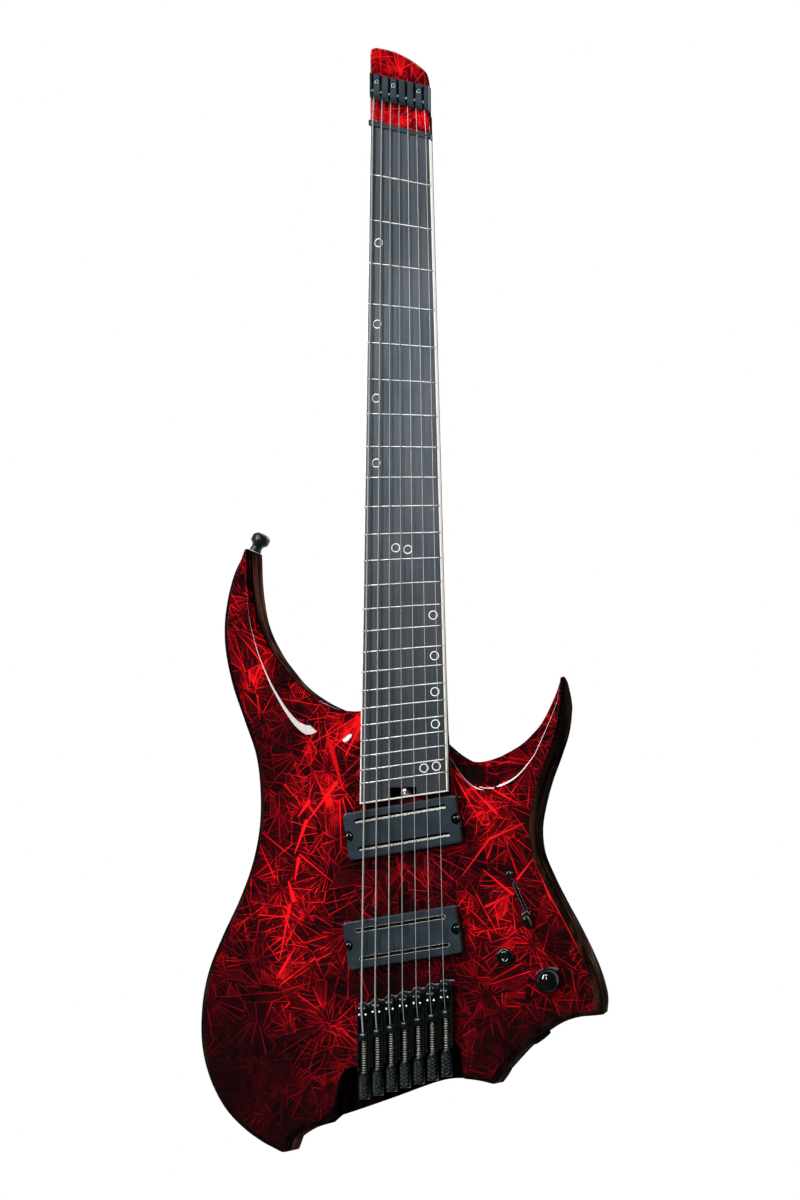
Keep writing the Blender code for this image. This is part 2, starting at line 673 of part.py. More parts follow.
def head_clamp_block():
    loop = [(CLAMP_LEFT, clamp_edge(CLAMP_LEFT, 0)), (CLAMP_RIGHT, clamp_edge(CLAMP_RIGHT, 0)),
            (CLAMP_RIGHT, clamp_edge(CLAMP_RIGHT, CLAMP_LENGTH)),
            (CLAMP_LEFT, clamp_edge(CLAMP_LEFT, CLAMP_LENGTH))]
    block = make_object("head_clamp_block", *plate(loop, CLAMP_FOOT, CLAMP_TOP), black_metal())
    grooves = group([clamp_groove(k) for k in range(STRINGS)])
    combine(block, cutter("cut_clamp_grooves", grooves))
    combine(block, cutter("join_clamp_screws", clamp_screws()), "UNION")


def pickup_slot(centre, side, back, front, width, length):
    """Bar along one blade slot of a pickup; side is -1 or +1."""
    middle = (centre[0] - side * SLOT_PITCH / 2 * math.sin(PICKUP_TILT),
              centre[1] + side * SLOT_PITCH / 2 * math.cos(PICKUP_TILT))
    loop = round_rectangle(middle, (length, width), width / 2 - 0.05, PICKUP_TILT)
    return plate(loop, back, front)


def pickup_end(centre, side, distance):
    return (centre[0] + side * distance * math.cos(PICKUP_TILT), 0,
            centre[1] + side * distance * math.sin(PICKUP_TILT))


def pickup(name):
    """Cover with two blade slots and a screw notch at each end, over a coil block."""
    centre = PICKUP_CENTRES[name]
    size = (PICKUP_LENGTH, PICKUP_WIDTH)
    side_loop = round_rectangle(centre, size, PICKUP_CORNER, PICKUP_TILT)
    top_loop = round_rectangle(centre, (size[0] - 2.4, size[1] - 2.4), PICKUP_CORNER - 1.0,
                               PICKUP_TILT)
    shape = loft([[(x, -PICKUP_BACK, z) for x, z in side_loop],
                  [(x, -(PICKUP_TOP - 2.0), z) for x, z in side_loop],
                  [(x, -PICKUP_TOP, z) for x, z in top_loop]])
    cover = make_object(name + "_pickup_cover", *shape, black_plastic())
    hollow = round_rectangle(centre, (size[0] - 4.4, size[1] - 4.4), 1.5, PICKUP_TILT)
    combine(cover, cutter("cut_%s_hollow" % name, plate(hollow, 0.0, PICKUP_TOP - 3.2)))
    slots = group([pickup_slot(centre, side, 30.0, FAR, SLOT_WIDTH, SLOT_LENGTH)
                   for side in (-1, 1)])
    combine(cover, cutter("cut_%s_slots" % name, slots))
    notches = group([turned([(4.4, PICKUP_TOP - 2.0), (4.4, FAR)],
                            pickup_end(centre, side, PICKUP_LENGTH / 2 - 1.6), (0, -1, 0), 16)
                     for side in (-1, 1)])
    combine(cover, cutter("cut_%s_notches" % name, notches))
    block = round_rectangle(centre, (size[0] - 5.2, size[1] - 5.2), 1.2, PICKUP_TILT)
    coils = make_object(name + "_pickup_coils",
                        *plate(block, PICKUP_BACK + 1.0, PICKUP_TOP - 3.6), black_plastic())
    blades = group([pickup_slot(centre, side, 30.0, PICKUP_TOP - 1.0, SLOT_WIDTH - 0.8,
                                SLOT_LENGTH - 0.8) for side in (-1, 1)])
    combine(coils, cutter("join_%s_blades" % name, blades), "UNION")


def unit_front(index):
    """Height of a bridge unit's front end."""
    return UNIT_FIRST_FRONT + UNIT_STEP * index


def bridge_base(index):
    """Channel, open over its rounded front end, with a rear wall for the puller rod."""
    x = string_x(index, BRIDGE_SPREAD)
    front = unit_front(index)
    loop = [(x + UNIT_HALF * math.cos(a), front - UNIT_HALF + UNIT_HALF * math.sin(a))
            for a in (math.pi * k / 6 for k in range(7))]
    loop += [(x - UNIT_HALF, front - UNIT_LENGTH), (x + UNIT_HALF, front - UNIT_LENGTH)]
    base = make_object("bridge_base_%d" % (index + 1),
                       *plate(loop, UNIT_FOOT, UNIT_TOP), black_metal())
    inner = UNIT_HALF - UNIT_WALL
    channel = box(x - inner, x + inner, UNIT_FOOT + UNIT_PLATE, FAR,
                  front - UNIT_LENGTH + 1.6, front + 5.0)
    combine(base, cutter("cut_channel_%d" % (index + 1), channel))
    bore = turned([(ROD_RADIUS + 0.4, -10.0), (ROD_RADIUS + 0.4, 10.0)],
                  (x, -ROD_AXIS, front - UNIT_LENGTH), (0, 0, 1), 12)
    combine(base, cutter("cut_rod_bore_%d" % (index + 1), bore))


def saddle(index):
    """Wedge block under the string; its ridge stands on the scale line."""
    x = string_x(index, BRIDGE_SPREAD)
    contact = bridge_slope() * x
    foot = UNIT_FOOT + UNIT_PLATE + GAP
    ridge = STRING_AT_SADDLE - STRING_DIAMETERS[index] / 2 - GAP
    side = [(2.4, foot), (2.4, ridge - 1.6), (0.6, ridge), (-0.6, ridge), (-4.4, ridge - 2.6),
            (-8.0, ridge - 3.8), (-8.0, foot)]
    rings = [[(x + across, -depth, contact + along) for along, depth in side]
             for across in (-SADDLE_HALF, SADDLE_HALF)]
    make_object("saddle_%d" % (index + 1), *loft(rings), black_metal())


def square_ring(x, z, half, back, front, count=16):
    """Ring of points round a rectangle, corners included, facing along Z."""
    ring = []
    middle = (back + front) / 2
    for k in range(count):
        angle = 2 * math.pi * k / count
        cosine = math.cos(angle)
        sine = math.sin(angle)
        reach = max(abs(cosine), abs(sine))
        ring.append((x + half * cosine / reach, -(middle + (front - back) / 2 * sine / reach), z))
    return ring


def round_ring(x, z, radius, axis, count=16):
    return [(x + radius * math.cos(a), -(axis + radius * math.sin(a)), z)
            for a in (2 * math.pi * k / count for k in range(count))]


def puller(index):
    """Block that holds the string's ball end, with its threaded rod."""
    x = string_x(index, BRIDGE_SPREAD)
    front = unit_front(index)
    back = UNIT_FOOT + UNIT_PLATE + GAP
    rings = [square_ring(x, front - PULLER_FRONT, SADDLE_HALF, back, 50.0),
             square_ring(x, front - PULLER_REAR, SADDLE_HALF, back, 50.0),
             round_ring(x, front - PULLER_REAR, ROD_RADIUS, ROD_AXIS),
             round_ring(x, front - ROD_REAR, ROD_RADIUS, ROD_AXIS)]
    make_object("puller_%d" % (index + 1), *loft(rings), bright_metal(),
                (x, -ROD_AXIS, front - PULLER_REAR))


def tuner_knob(index):
    """Knob with a blind bore that runs on the puller's rod."""
    x = string_x(index, BRIDGE_SPREAD)
    front = unit_front(index)
    bore = ROD_RADIUS + 0.35
    profile = [(bore, KNOB_REAR - 2.0), (bore, KNOB_FRONT), (3.3, KNOB_FRONT),
               (3.3, KNOB_FRONT + 1.6), (KNOB_RADIUS, KNOB_FRONT + 2.4),
               (KNOB_RADIUS, KNOB_REAR - 0.5), (KNOB_RADIUS - 0.5, KNOB_REAR)]
    shape = turned(profile, (x, -ROD_AXIS, front), (0, 0, -1), 18)
    make_object("tuner_knob_%d" % (index + 1), *shape, black_metal(),
                (x, -ROD_AXIS, front - KNOB_FRONT))


def string_route(index):
    """Points from the clamp over nut and saddle to the puller."""
    radius = STRING_DIAMETERS[index] / 2
    clamp_x = string_x(index, CLAMP_SPREAD)
    nut_x = string_x(index, NUT_SPREAD)
    bridge_x = string_x(index, BRIDGE_SPREAD)
    nut_z = nut_height() - NUT_SLOPE * nut_x + NUT_LENGTH / 2
    over_nut = crown(nut_x, NUT_TOP) + GAP + radius
    return [Vector((clamp_x, -(GROOVE_FLOOR + GAP + radius), clamp_edge(clamp_x, 13.0))),
            Vector((clamp_x, -(GROOVE_FLOOR + GAP + radius), clamp_edge(clamp_x, 0.0))),
            Vector((nut_x, -over_nut, nut_z)),
            Vector((bridge_x, -STRING_AT_SADDLE, bridge_slope() * bridge_x)),
            Vector((bridge_x, -49.4, unit_front(index) - PULLER_FRONT + GAP + 0.1))]


def string(index):
    """Round wire along its route, as a beveled curve with filled caps."""
    curve = bpy.data.curves.new("string_%d" % (index + 1), "CURVE")
    curve.dimensions = "3D"
    curve.bevel_depth = STRING_DIAMETERS[index] / 2 * MM
    curve.bevel_resolution = 1
    curve.use_fill_caps = True
    line = curve.splines.new("POLY")
    route = string_route(index)
    line.points.add(len(route) - 1)
    for point, place in zip(line.points, route):
        point.co = (*(place * MM), 1.0)
    curve.materials.append(bright_metal())
    made = bpy.data.objects.new("string_%d" % (index + 1), curve)
    bpy.context.scene.collection.objects.link(made)


def switch_body():
    frame = make_object("switch_body", *switch_box(48.0, 13.0, 31.4, CAVITY_FLOOR - GAP),
                        bright_metal())
    combine(frame, cutter("join_switch_box", switch_box(34.0, 12.0, 6.0, 31.8)), "UNION")
    combine(frame, cutter("cut_switch_way", switch_box(31.0, 2.6, 9.0, FAR)))


def switch_lever():
    """Blade and oval tip, leaning to the tail end of the slot."""
    pivot_x, pivot_z = SWITCH_CENTRE
    pivot = Vector((pivot_x, -LEVER_PIVOT, pivot_z))
    along = Vector((math.sin(SWITCH_LEAN), 0, -math.cos(SWITCH_LEAN)))
    across = Vector((math.cos(SWITCH_LEAN), 0, math.sin(SWITCH_LEAN)))
    arm = Vector((0, -1, 0)) * math.cos(LEVER_REST) + along * math.sin(LEVER_REST)
    wide = along * math.cos(LEVER_REST) + Vector((0, 1, 0)) * math.sin(LEVER_REST)
    stations = [(-3.0, 0.6, 1.8, True), (31.0, 0.6, 1.8, True), (31.0, 2.6, 4.6, False),
                (32.4, 3.4, 5.9, False), (39.5, 3.6, 6.2, False), (42.8, 3.1, 5.4, False),
                (44.2, 1.8, 3.6, False)]
    rings = []
    for height, half_across, half_wide, square in stations:
        ring = []
        for k in range(16):
            angle = 2 * math.pi * k / 16
            cosine = math.cos(angle)
            sine = math.sin(angle)
            reach = max(abs(cosine), abs(sine)) if square else 1.0
            ring.append(tuple(pivot + arm * height + across * half_across * cosine / reach
                              + wide * half_wide * sine / reach))
        rings.append(ring)
    make_object("switch_lever", *loft(rings), black_plastic(), tuple(pivot))


def volume_pot():
    centre = (VOLUME_CENTRE[0], 0, VOLUME_CENTRE[1])
    profile = [(2.9, 27.0), (2.9, 39.6), (3.9, 39.6), (3.9, CAVITY_FLOOR - 0.6),
               (8.2, CAVITY_FLOOR - 0.6), (8.2, 24.0)]
    make_object("volume_pot", *turned(profile, centre, (0, -1, 0), 20), bright_metal(), centre)


def volume_knob():
    """Domed knob with the shaft that turns in the pot."""
    foot = BODY_THICK + 0.5
    centre = (VOLUME_CENTRE[0], -foot, VOLUME_CENTRE[1])
    profile = [(2.5, -(foot - 28.0)), (2.5, 0.0), (9.3, 0.0), (9.7, 1.2), (9.7, 5.5)]
    profile += [(9.7 * math.cos(a), 5.5 + 8.6 * math.sin(a))
                for a in (math.pi / 2 * k / 5 for k in range(1, 5))]
    profile.append((1.2, 14.05))
    make_object("volume_knob", *turned(profile, centre, (0, -1, 0), 24), black_plastic(), centre)


def push_switch():
    """Threaded barrel with its ring bezel, closed at the bottom."""
    centre = (BUTTON_CENTRE[0], 0, BUTTON_CENTRE[1])
    face = BODY_THICK + GAP
    profile = [(4.6, 22.0), (4.6, face + 2.4), (5.4, face + 2.9), (6.5, face + 1.6), (6.5, face),
               (5.5, face), (5.5, 18.0)]
    make_object("push_switch", *turned(profile, centre, (0, -1, 0), 20), black_metal(), centre)


def push_button():
    centre = (BUTTON_CENTRE[0], -(BODY_THICK + 2.0), BUTTON_CENTRE[1])
    profile = [(4.2, -16.0), (4.2, 1.0), (3.4, 1.6)]
    make_object("push_button", *turned(profile, centre, (0, -1, 0), 20), black_plastic(), centre)


def jack_centre():
    return (JACK_POINT[0], -JACK_DEPTH, JACK_POINT[1])


def output_jack():
    """Barrel socket with a flange on the body's lower edge."""
    profile = [(3.2, -26.0), (3.2, 3.0), (7.0, 3.0), (7.6, 2.4), (7.6, 0.9), (5.8, 0.9),
               (5.8, -28.0)]
    shape = turned(profile, jack_centre(), (JACK_OUT[0], 0, JACK_OUT[1]), 20)
    make_object("output_jack", *shape, black_metal(), jack_centre())


def control_cover():
    loop = inset(CONTROL_CAVITY, [-(5.0 - GAP)] * len(CONTROL_CAVITY))
    make_object("control_cover", *plate(loop, 0.0, COVER_THICK), black_plastic())


def neck_plate():
    loop = round_rectangle(PLATE_CENTRE, PLATE_SIZE, 4.0)
    made = make_object("neck_plate", *plate(loop, -(GAP + 1.8), -GAP), black_metal())
    combine(made, cutter("join_plate_bolts", plate_bolts(2.0, -2.6, 33.5)), "UNION")


def strap_button(name, centre, axis):
    """Waisted button with a thick round head."""
    profile = [(5.0, GAP), (4.9, 1.5), (4.3, 3.8), (4.6, 5.4), (6.8, 7.4), (7.4, 8.6),
               (7.4, 11.6), (6.9, 13.4), (5.2, 14.7), (2.6, 15.3)]
    make_object(name, *turned(profile, centre, axis, 20), black_metal(), centre)


def build():
    for old in list(bpy.data.objects):
        bpy.data.objects.remove(old)
    cuts = body_cutters()
    body_core(cuts)
    body_top(cuts)
    neck()
    fretboard()
    fretboard_binding()
    nut()
    truss_rod()
    truss_wheel()
    head_overlay()
    head_clamp_block()
    for name in PICKUP_CENTRES:
        pickup(name)
    for index in range(STRINGS):
        bridge_base(index)
        saddle(index)
        puller(index)
        tuner_knob(index)
        string(index)
    switch_body()
    switch_lever()
    volume_pot()
    volume_knob()
    push_switch()
    push_button()
    output_jack()
    control_cover()
    neck_plate()
    strap_button("strap_button_upper", (STRAP_POINT[0], -STRAP_DEPTH, STRAP_POINT[1]),
                 (STRAP_AXIS[0], 0, STRAP_AXIS[1]))
    strap_button("strap_button_lower", (REAR_STRAP_POINT[0], 0, REAR_STRAP_POINT[1]), (0, 1, 0))


build()
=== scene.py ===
"""Looks of the headless seven-string guitar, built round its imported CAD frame.

Lengths are millimetres unless a name says metres. Depths are measured forward
from the flat back of the body, so a depth d lies at Y = -d.
"""

import math

import bmesh
import bpy
from mathutils import Matrix, Vector


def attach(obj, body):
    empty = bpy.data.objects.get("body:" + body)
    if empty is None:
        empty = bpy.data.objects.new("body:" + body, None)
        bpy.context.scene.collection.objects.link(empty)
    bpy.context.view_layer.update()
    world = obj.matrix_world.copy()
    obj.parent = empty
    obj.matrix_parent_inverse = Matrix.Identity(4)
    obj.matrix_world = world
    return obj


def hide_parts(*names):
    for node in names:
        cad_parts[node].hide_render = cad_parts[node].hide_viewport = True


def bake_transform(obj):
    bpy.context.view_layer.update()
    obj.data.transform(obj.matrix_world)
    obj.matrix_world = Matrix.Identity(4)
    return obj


MM = 0.001
FAR = 60.0
BODY = "guitar"
FORWARD = (0, -1, 0)

# Values of the looks alone
EDGE_SHARP = 35.0
BOARD_STEPS = 28
RIM = 0.8
SCOOP_STEPS = 18
REAR_ROUND = 3.0
CLAMP_LEFT = -22.5
CLAMP_RIGHT = 24.2
CLAMP_BACK = 46.3
CLAMP_START = 21.6
CLAMP_LENGTH = 19.5
NUT_TOP = 50.0
NOTCH_HALF = 10.5
NOTCH_BELOW = 12.0
NOTCH_ABOVE = 8.0
UNIT_FLOOR = 43.3
UNIT_LENGTH = 50.8
UNIT_SCREW = 5.1
SADDLE_FOOT = 43.6
KNURL_RADIUS = 4.35
KNURL_TEETH = 20
KNURL_AROUND = 120
KNURL_ALONG = 70
KNURL_DEPTH = 0.48
WOOD_LIGHT = (0.075, 0.026, 0.017)
COVER_SCREWS = [(66.5, 96.5), (96.5, 86.0), (129.5, 18.0), (108.0, -8.0), (72.0, -22.5),
                (60.8, 30.0)]
INLAYS = [(-17.2, 575.2), (-18.6, 511.9), (-19.6, 454.6), (-19.8, 404.6), (-4.7, 339.0),
          (4.7, 337.4), (23.9, 287.0), (24.7, 256.3), (24.9, 229.2), (25.1, 205.0),
          (16.2, 172.1), (25.6, 173.4)]
CAMERA_PLACE = (559.1, -2224.7, 39.6)
CAMERA_ANGLES = (14.45, -6.59, -0.28)

# The same values as in the part's source
NUT_HEIGHT = 660.315
BRIDGE_SLOPE = 0.20413
NUT_SLOPE = 0.30
STRINGS = 7
FRETS = 24
NUT_SPREAD = 41.8
BRIDGE_SPREAD = 63.0
CLAMP_SPREAD = 39.9
STRING_DIAMETERS = [1.50, 1.17, 0.91, 0.66, 0.46, 0.40, 0.40]
NUT_HALF = 24.0
BRIDGE_HALF = 37.05
BOARD_END = 0.7725
BOARD_TOP = 49.0
BOARD_BACK = 43.0
BOARD_RADIUS = 400.0
BINDING = 1.0
NECK_FRONT = 42.7
HEAD_FACE = 46.0
NUT_LENGTH = 4.5
NUT_END = 24.6
BODY_THICK = 40.0
CORE_FRONT = 28.0
POCKET_FLOOR = 19.7
PICKUP_LENGTH = 88.5
PICKUP_WIDTH = 36.0
PICKUP_TILT = math.radians(8.4)
PICKUP_TOP = 49.6
PICKUP_CENTRES = {"neck": (-0.8, 127.7), "bridge": (-1.3, 46.2)}
SLOT_LENGTH = 71.5
SLOT_WIDTH = 3.6
SLOT_PITCH = 21.0
UNIT_FIRST_FRONT = -1.5
UNIT_STEP = 2.82
UNIT_HALF = 5.1
UNIT_TOP = 48.8
ROD_AXIS = 46.2
PULLER_FRONT = 22.6
PULLER_REAR = 28.4
ROD_REAR = 60.0
KNOB_FRONT = 51.8
KNOB_REAR = 71.2
STRING_AT_SADDLE = 53.6
SWITCH_CENTRE = (87.5, 73.3)
SWITCH_LEAN = math.radians(24.0)
BUTTON_CENTRE = (75.2, 31.6)
VOLUME_CENTRE = (108.5, 14.3)
JACK_CENTRE = (96.9, -18.0, -26.4)
JACK_OUT = (0.611, 0.0, -0.791)
STRAP_UPPER = ((-126.1, -17.0, 344.6), (0.452, 0.0, 0.892))
STRAP_LOWER = ((-86.0, 0.0, -76.0), (0.0, 1.0, 0.0))

# Sections of the neck: t, depth, roundness of the bass and of the treble half
NECK_SECTIONS = [
    (-0.030, 13.0, 2.1, 2.1), (0.0, 14.0, 2.0, 2.0), (0.30, 15.0, 2.0, 2.0),
    (0.56, 16.0, 2.1, 2.1), (0.64, 18.0, 2.8, 2.1), (0.675, 20.5, 7.0, 2.2),
    (0.70, 22.0, 9.0, 2.3), (0.722, 22.7, 9.0, 3.0), (0.735, 22.7, 9.0, 9.0),
    (BOARD_END, 22.7, 9.0, 9.0)]


def even(width, drop, *places):
    """Rows of an outline run that share the scoop's width and its drop."""
    return [(x, z, width, drop) for x, z in places]


# Runs of the body's outline: x, z, width of the scoop and its drop at the edge
LEFT_SIDE = [
    (-127.6, 345.3, 1.3, 8.0), (-130.8, 339.2, 2.2, 7.0), (-135.7, 328.6, 3.5, 5.0),
    (-139.4, 316.9, 3.5, 4.0), (-142.2, 303.0, 3.5, 3.0), (-143.9, 288.0, 3.5, 2.5),
    *even(3.5, 2.2, (-143.3, 268.0), (-137.6, 240.3), (-127.9, 212.4), (-118.4, 184.7),
          (-115.1, 157.0), (-115.8, 130.0), (-121.4, 102.6), (-131.7, 75.4), (-145.0, 48.3)),
    (-156.3, 21.2, 4.0, 2.5),
    *even(4.5, 3.0, (-161.6, -6.0), (-161.3, -35.0), (-154.6, -60.0), (-142.5, -81.5),
          (-128.3, -95.7)),
    (-114.0, -105.5, 4.0, 3.0),
    *even(3.5, 3.0, (-103.1, -110.9), (-98.2, -113.2), (-94.8, -112.9))]
LOBE_EDGE = even(3.5, 3.0, (-94.8, -112.9), (-92.9, -108.4), (-91.0, -103.0))
LOBE_TO_TAIL = even(3.5, 3.0, (-91.0, -103.0), (-83.4, -98.1), (-77.1, -95.4), (-66.3, -92.4))
TAIL_STEP = even(3.5, 3.0, (-66.3, -92.4), (-60.0, -87.0))
TAIL = even(3.5, 3.0, (-60.0, -87.0), (-46.0, -82.5), (-15.0, -71.9), (0.6, -66.2),
            (13.0, -62.0), (24.0, -59.3), (36.0, -57.8), (52.0, -59.0), (64.8, -61.6))
TAIL_CORNER = even(3.5, 3.0, (64.8, -61.6), (68.9, -56.4), (72.0, -51.1))
RIGHT_HOLLOW = even(3.5, 3.0, (72.0, -51.1), (87.0, -35.5), (100.2, -23.9), (113.4, -16.2),
                    (126.6, -12.7), (141.6, -11.4))
RIGHT_SIDE = [
    (144.8, -9.0, 4.0, 3.0), (145.5, 2.3, 4.5, 3.0), (141.1, 20.1, 4.0, 3.0),
    (133.7, 37.9, 3.5, 2.5),
    *even(3.5, 2.2, (124.8, 55.8), (115.1, 73.7), (106.1, 91.8), (98.9, 109.8), (97.3, 127.9),
          (100.4, 145.9), (105.6, 163.9)),
    (112.5, 181.9, 3.5, 2.5), (118.4, 199.9, 3.5, 3.0), (120.6, 217.0, 2.5, 4.5),
    (120.9, 230.0, 1.6, 6.0), (120.6, 236.8, 1.1, 7.0), (119.5, 239.6, 1.0, 7.0)]
RIGHT_HORN = [
    (118.2, 238.4, 1.2, 7.0), (115.2, 229.4, 3.2, 6.5), (112.2, 221.9, 4.6, 6.0),
    (108.0, 213.0, 5.6, 5.5), (102.8, 204.2, 7.2, 5.5), (97.2, 197.9, 10.4, 6.0),
    (88.2, 190.0, 16.0, 7.5), (79.0, 184.8, 21.5, 9.0), (69.5, 180.4, 25.0, 10.0),
    (62.0, 178.2, 26.0, 10.5), (55.0, 177.0, 22.0, 9.5), (47.3, 177.8, 13.0, 7.0),
    (40.4, 180.8, 6.0, 5.0), (32.5, 186.2, 2.4, 3.0), (20.0, 197.0, 2.5, 2.0),
    (0.0, 210.0, 3.5, 2.0), (-20.0, 216.0, 4.5, 2.4), (-32.0, 217.2, 10.0, 3.8),
    (-42.0, 217.2, 25.0, 5.6), (-50.5, 218.3, 38.0, 6.8), (-60.4, 222.0, 40.0, 7.4),
    (-70.0, 227.0, 34.5, 7.6), (-80.0, 233.6, 27.0, 7.0), (-89.3, 241.7, 20.5, 6.0),
    (-97.3, 251.3, 16.0, 5.5), (-104.6, 260.8, 12.0, 5.0), (-110.3, 270.3, 9.0, 4.5),
    (-115.1, 279.8, 6.2, 4.5), (-118.8, 290.0, 4.6, 4.5), (-121.8, 305.0, 3.2, 4.5),
    (-123.6, 321.0, 2.6, 5.0), (-124.2, 335.0, 2.2, 6.0), (-124.6, 343.8, 1.6, 7.0)]
BODY_RUNS = [LEFT_SIDE, LOBE_EDGE, LOBE_TO_TAIL, TAIL_STEP, TAIL, TAIL_CORNER,
             RIGHT_HOLLOW, RIGHT_SIDE, RIGHT_HORN]
SLOPE_SHARES = [(-116.0, 0.1), (-100.0, 0.4), (-50.0, 0.4), (-36.0, 0.8), (90.0, 0.78),
                (108.0, 0.2)]
TAIL_RECESS = [(-48.2, -51.0), (34.6, -28.8), (41.0, -36.0), (45.0, -90.0),
               (-66.0, -120.0), (-52.0, -57.0)]
HORN_RELIEF = [(-5.0, 211.0), (0.0, 211.0), (2.0, 218.0), (7.0, 225.0), (22.0, 238.0),
               (30.0, 246.0), (-5.0, 246.0)]
CONTROL_CAVITY = [
    (64.0, 97.0), (90.0, 100.0), (97.0, 80.0), (109.0, 58.0), (119.0, 36.0), (127.0, 18.0),
    (127.0, 3.0), (110.0, -4.0), (84.0, -20.0), (70.0, -20.0), (63.0, 6.0)]
HEAD_CURVE = [(-19.8, 730.0), (-15.2, 728.9), (-5.3, 725.6), (5.4, 719.8), (14.5, 713.0),
              (19.9, 707.6), (22.0, 701.0), (23.0, 687.5)]
HEAD_LEFT_TOP = [(-24.0, 724.5), (-23.2, 728.6)]
HEAD_ROUND = [(NECK_FRONT, 0.0), (40.0, 0.8), (35.5, 2.4), (31.0, 4.4), (29.3, 5.6)]


# Shapes: (points, faces) in millimetres

def circle(count):
    """(cosine, sine) pairs once round."""
    return [(math.cos(a), math.sin(a)) for a in (2 * math.pi * k / count for k in range(count))]


def loft(rings):
    """Skin over rings of equal length, with both ends filled."""
    count = len(rings[0])
    points = [p for ring in rings for p in ring]
    faces = [list(range(count))]
    last = (len(rings) - 1) * count
    for base in range(0, last, count):
        for k in range(count):
            following = (k + 1) % count
            faces.append([base + k, base + following,
                          base + count + following, base + count + k])
    faces.append([last + k for k in reversed(range(count))])
    return points, faces


def group(shapes):
    points = []
    faces = []
    for shape_points, shape_faces in shapes:
        base = len(points)
        points += shape_points
        faces += [[base + k for k in face] for face in shape_faces]
    return points, faces


def layer(loop, depth):
    return [(x, -depth, z) for x, z in loop]


def plate(loop, back, front):
    return loft([layer(loop, back), layer(loop, front)])


def box(x0, x1, back, front, z0, z1):
    return plate([(x0, z0), (x1, z0), (x1, z1), (x0, z1)], back, front)


def turned(profile, centre, axis=FORWARD, sides=48):
    """Closed solid turned from (radius, height) pairs; ends need radius > 0."""
    axis = Vector(axis).normalized()
    side = axis.orthogonal().normalized()
    other = axis.cross(side)
    return loft([[tuple(Vector(centre) + axis * height + (side * c + other * s) * radius)
                  for c, s in circle(sides)] for radius, height in profile])


def bar(radius, back, front, x, z, sides=48):
    """Round bar along the depth, most often a drill."""
    return turned([(radius, back), (radius, front)], (x, 0, z), FORWARD, sides)


def tube(route, radius, sides=10):
    """Round wire through the points of a route."""
    rings = []
    for k, point in enumerate(route):
        ahead = route[min(k + 1, len(route) - 1)] - route[max(k - 1, 0)]
        direction = ahead.normalized()
        side = direction.cross(Vector((0, 1, 0))).normalized()
        other = direction.cross(side)
        rings.append([tuple(point + (side * c + other * s) * radius) for c, s in circle(sides)])
    return loft(rings)


def blend_four(points, knots, t):
    """Barry-Goldman form of the Catmull-Rom curve."""
    def mix(a, b, low, high):
        return a * ((high - t) / (high - low)) + b * ((t - low) / (high - low))
    p0, p1, p2, p3 = points
    k0, k1, k2, k3 = knots
    a1 = mix(p0, p1, k0, k1)
    a2 = mix(p1, p2, k1, k2)
    a3 = mix(p2, p3, k2, k3)
    return mix(mix(a1, a2, k0, k2), mix(a2, a3, k1, k3), k1, k2)


def smooth_run(run, step):
    """Points along a centripetal Catmull-Rom curve through a run, without its last point."""
    points = [Vector(p) for p in run]
    points = [2 * points[0] - points[1]] + points + [2 * points[-1] - points[-2]]
    result = []
    for before, start, end, after in zip(points, points[1:], points[2:], points[3:]):
        knots = [0.0]
        for a, b in ((before, start), (start, end), (end, after)):
            knots.append(knots[-1] + max((b.xy - a.xy).length, 0.01) ** 0.5)
        pieces = max(1, round((end.xy - start.xy).length / step))
        for k in range(pieces):
            t = knots[1] + (knots[2] - knots[1]) * k / pieces
            result.append(blend_four((before, start, end, after), knots, t))
    return result


def even_slope(x):
    """Share of the scoop's width with an even slope: a crisp crease to the treble side."""
    for (low, first), (high, last) in zip(SLOPE_SHARES, SLOPE_SHARES[1:]):
        if x <= high:
            return first + (last - first) * max(x - low, 0.0) / (high - low)
    return SLOPE_SHARES[-1][1]


def body_outline(step):
    """Points (x, z, width, drop, share of even slope) round the body."""
    outline = []
    for run, following in zip(BODY_RUNS, BODY_RUNS[1:] + BODY_RUNS[:1]):
        points = smooth_run(run, step)
        if (Vector(following[0]).xy - Vector(run[-1]).xy).length > 0.1:
            points.append(Vector(run[-1]))
        outline += [(*p, even_slope(p[0]) if run is RIGHT_HORN else 0.9) for p in points]
    return outline


def inset(loop, distances):
    """Loop moved inward by a distance at each point."""
    turning = sum(a[0] * b[1] - b[0] * a[1] for a, b in zip(loop, loop[1:] + loop[:1]))
    sign = 1.0 if turning > 0 else -1.0
    result = []
    for k, point in enumerate(loop):
        ahead = Vector(loop[(k + 1) % len(loop)][:2]) - Vector(point[:2])
        behind = Vector(point[:2]) - Vector(loop[k - 1][:2])
        first = Vector((-behind.y, behind.x)).normalized() * sign
        second = Vector((-ahead.y, ahead.x)).normalized() * sign
        miter = (first + second) / max(1.0 + first.dot(second), 0.6)
        result.append(tuple(Vector(point[:2]) + miter * distances[k]))
    return result


def fan_half(t):
    return NUT_HALF + (BRIDGE_HALF - NUT_HALF) * t


def fan(t, u, half=None):
    """(x, z) on the fanned line t (0 nut, 1 bridge); u from -1 bass edge to +1 treble edge."""
    edge = fan_half(t)
    x = u * (edge if half is None else half)
    nut = NUT_HEIGHT - NUT_SLOPE * x * NUT_HALF / edge
    bridge = BRIDGE_SLOPE * x * BRIDGE_HALF / edge
    return x, nut + (bridge - nut) * t


def across_fan(t, half=None):
    return [fan(t, 2 * k / BOARD_STEPS - 1, half) for k in range(BOARD_STEPS + 1)]


def along_offset(t, distance):
    return t + distance / NUT_HEIGHT


def crown(x, top=BOARD_TOP):
    return top - x * x / (2 * BOARD_RADIUS)


def string_x(index, spread):
    return spread * (index / (STRINGS - 1) - 0.5)


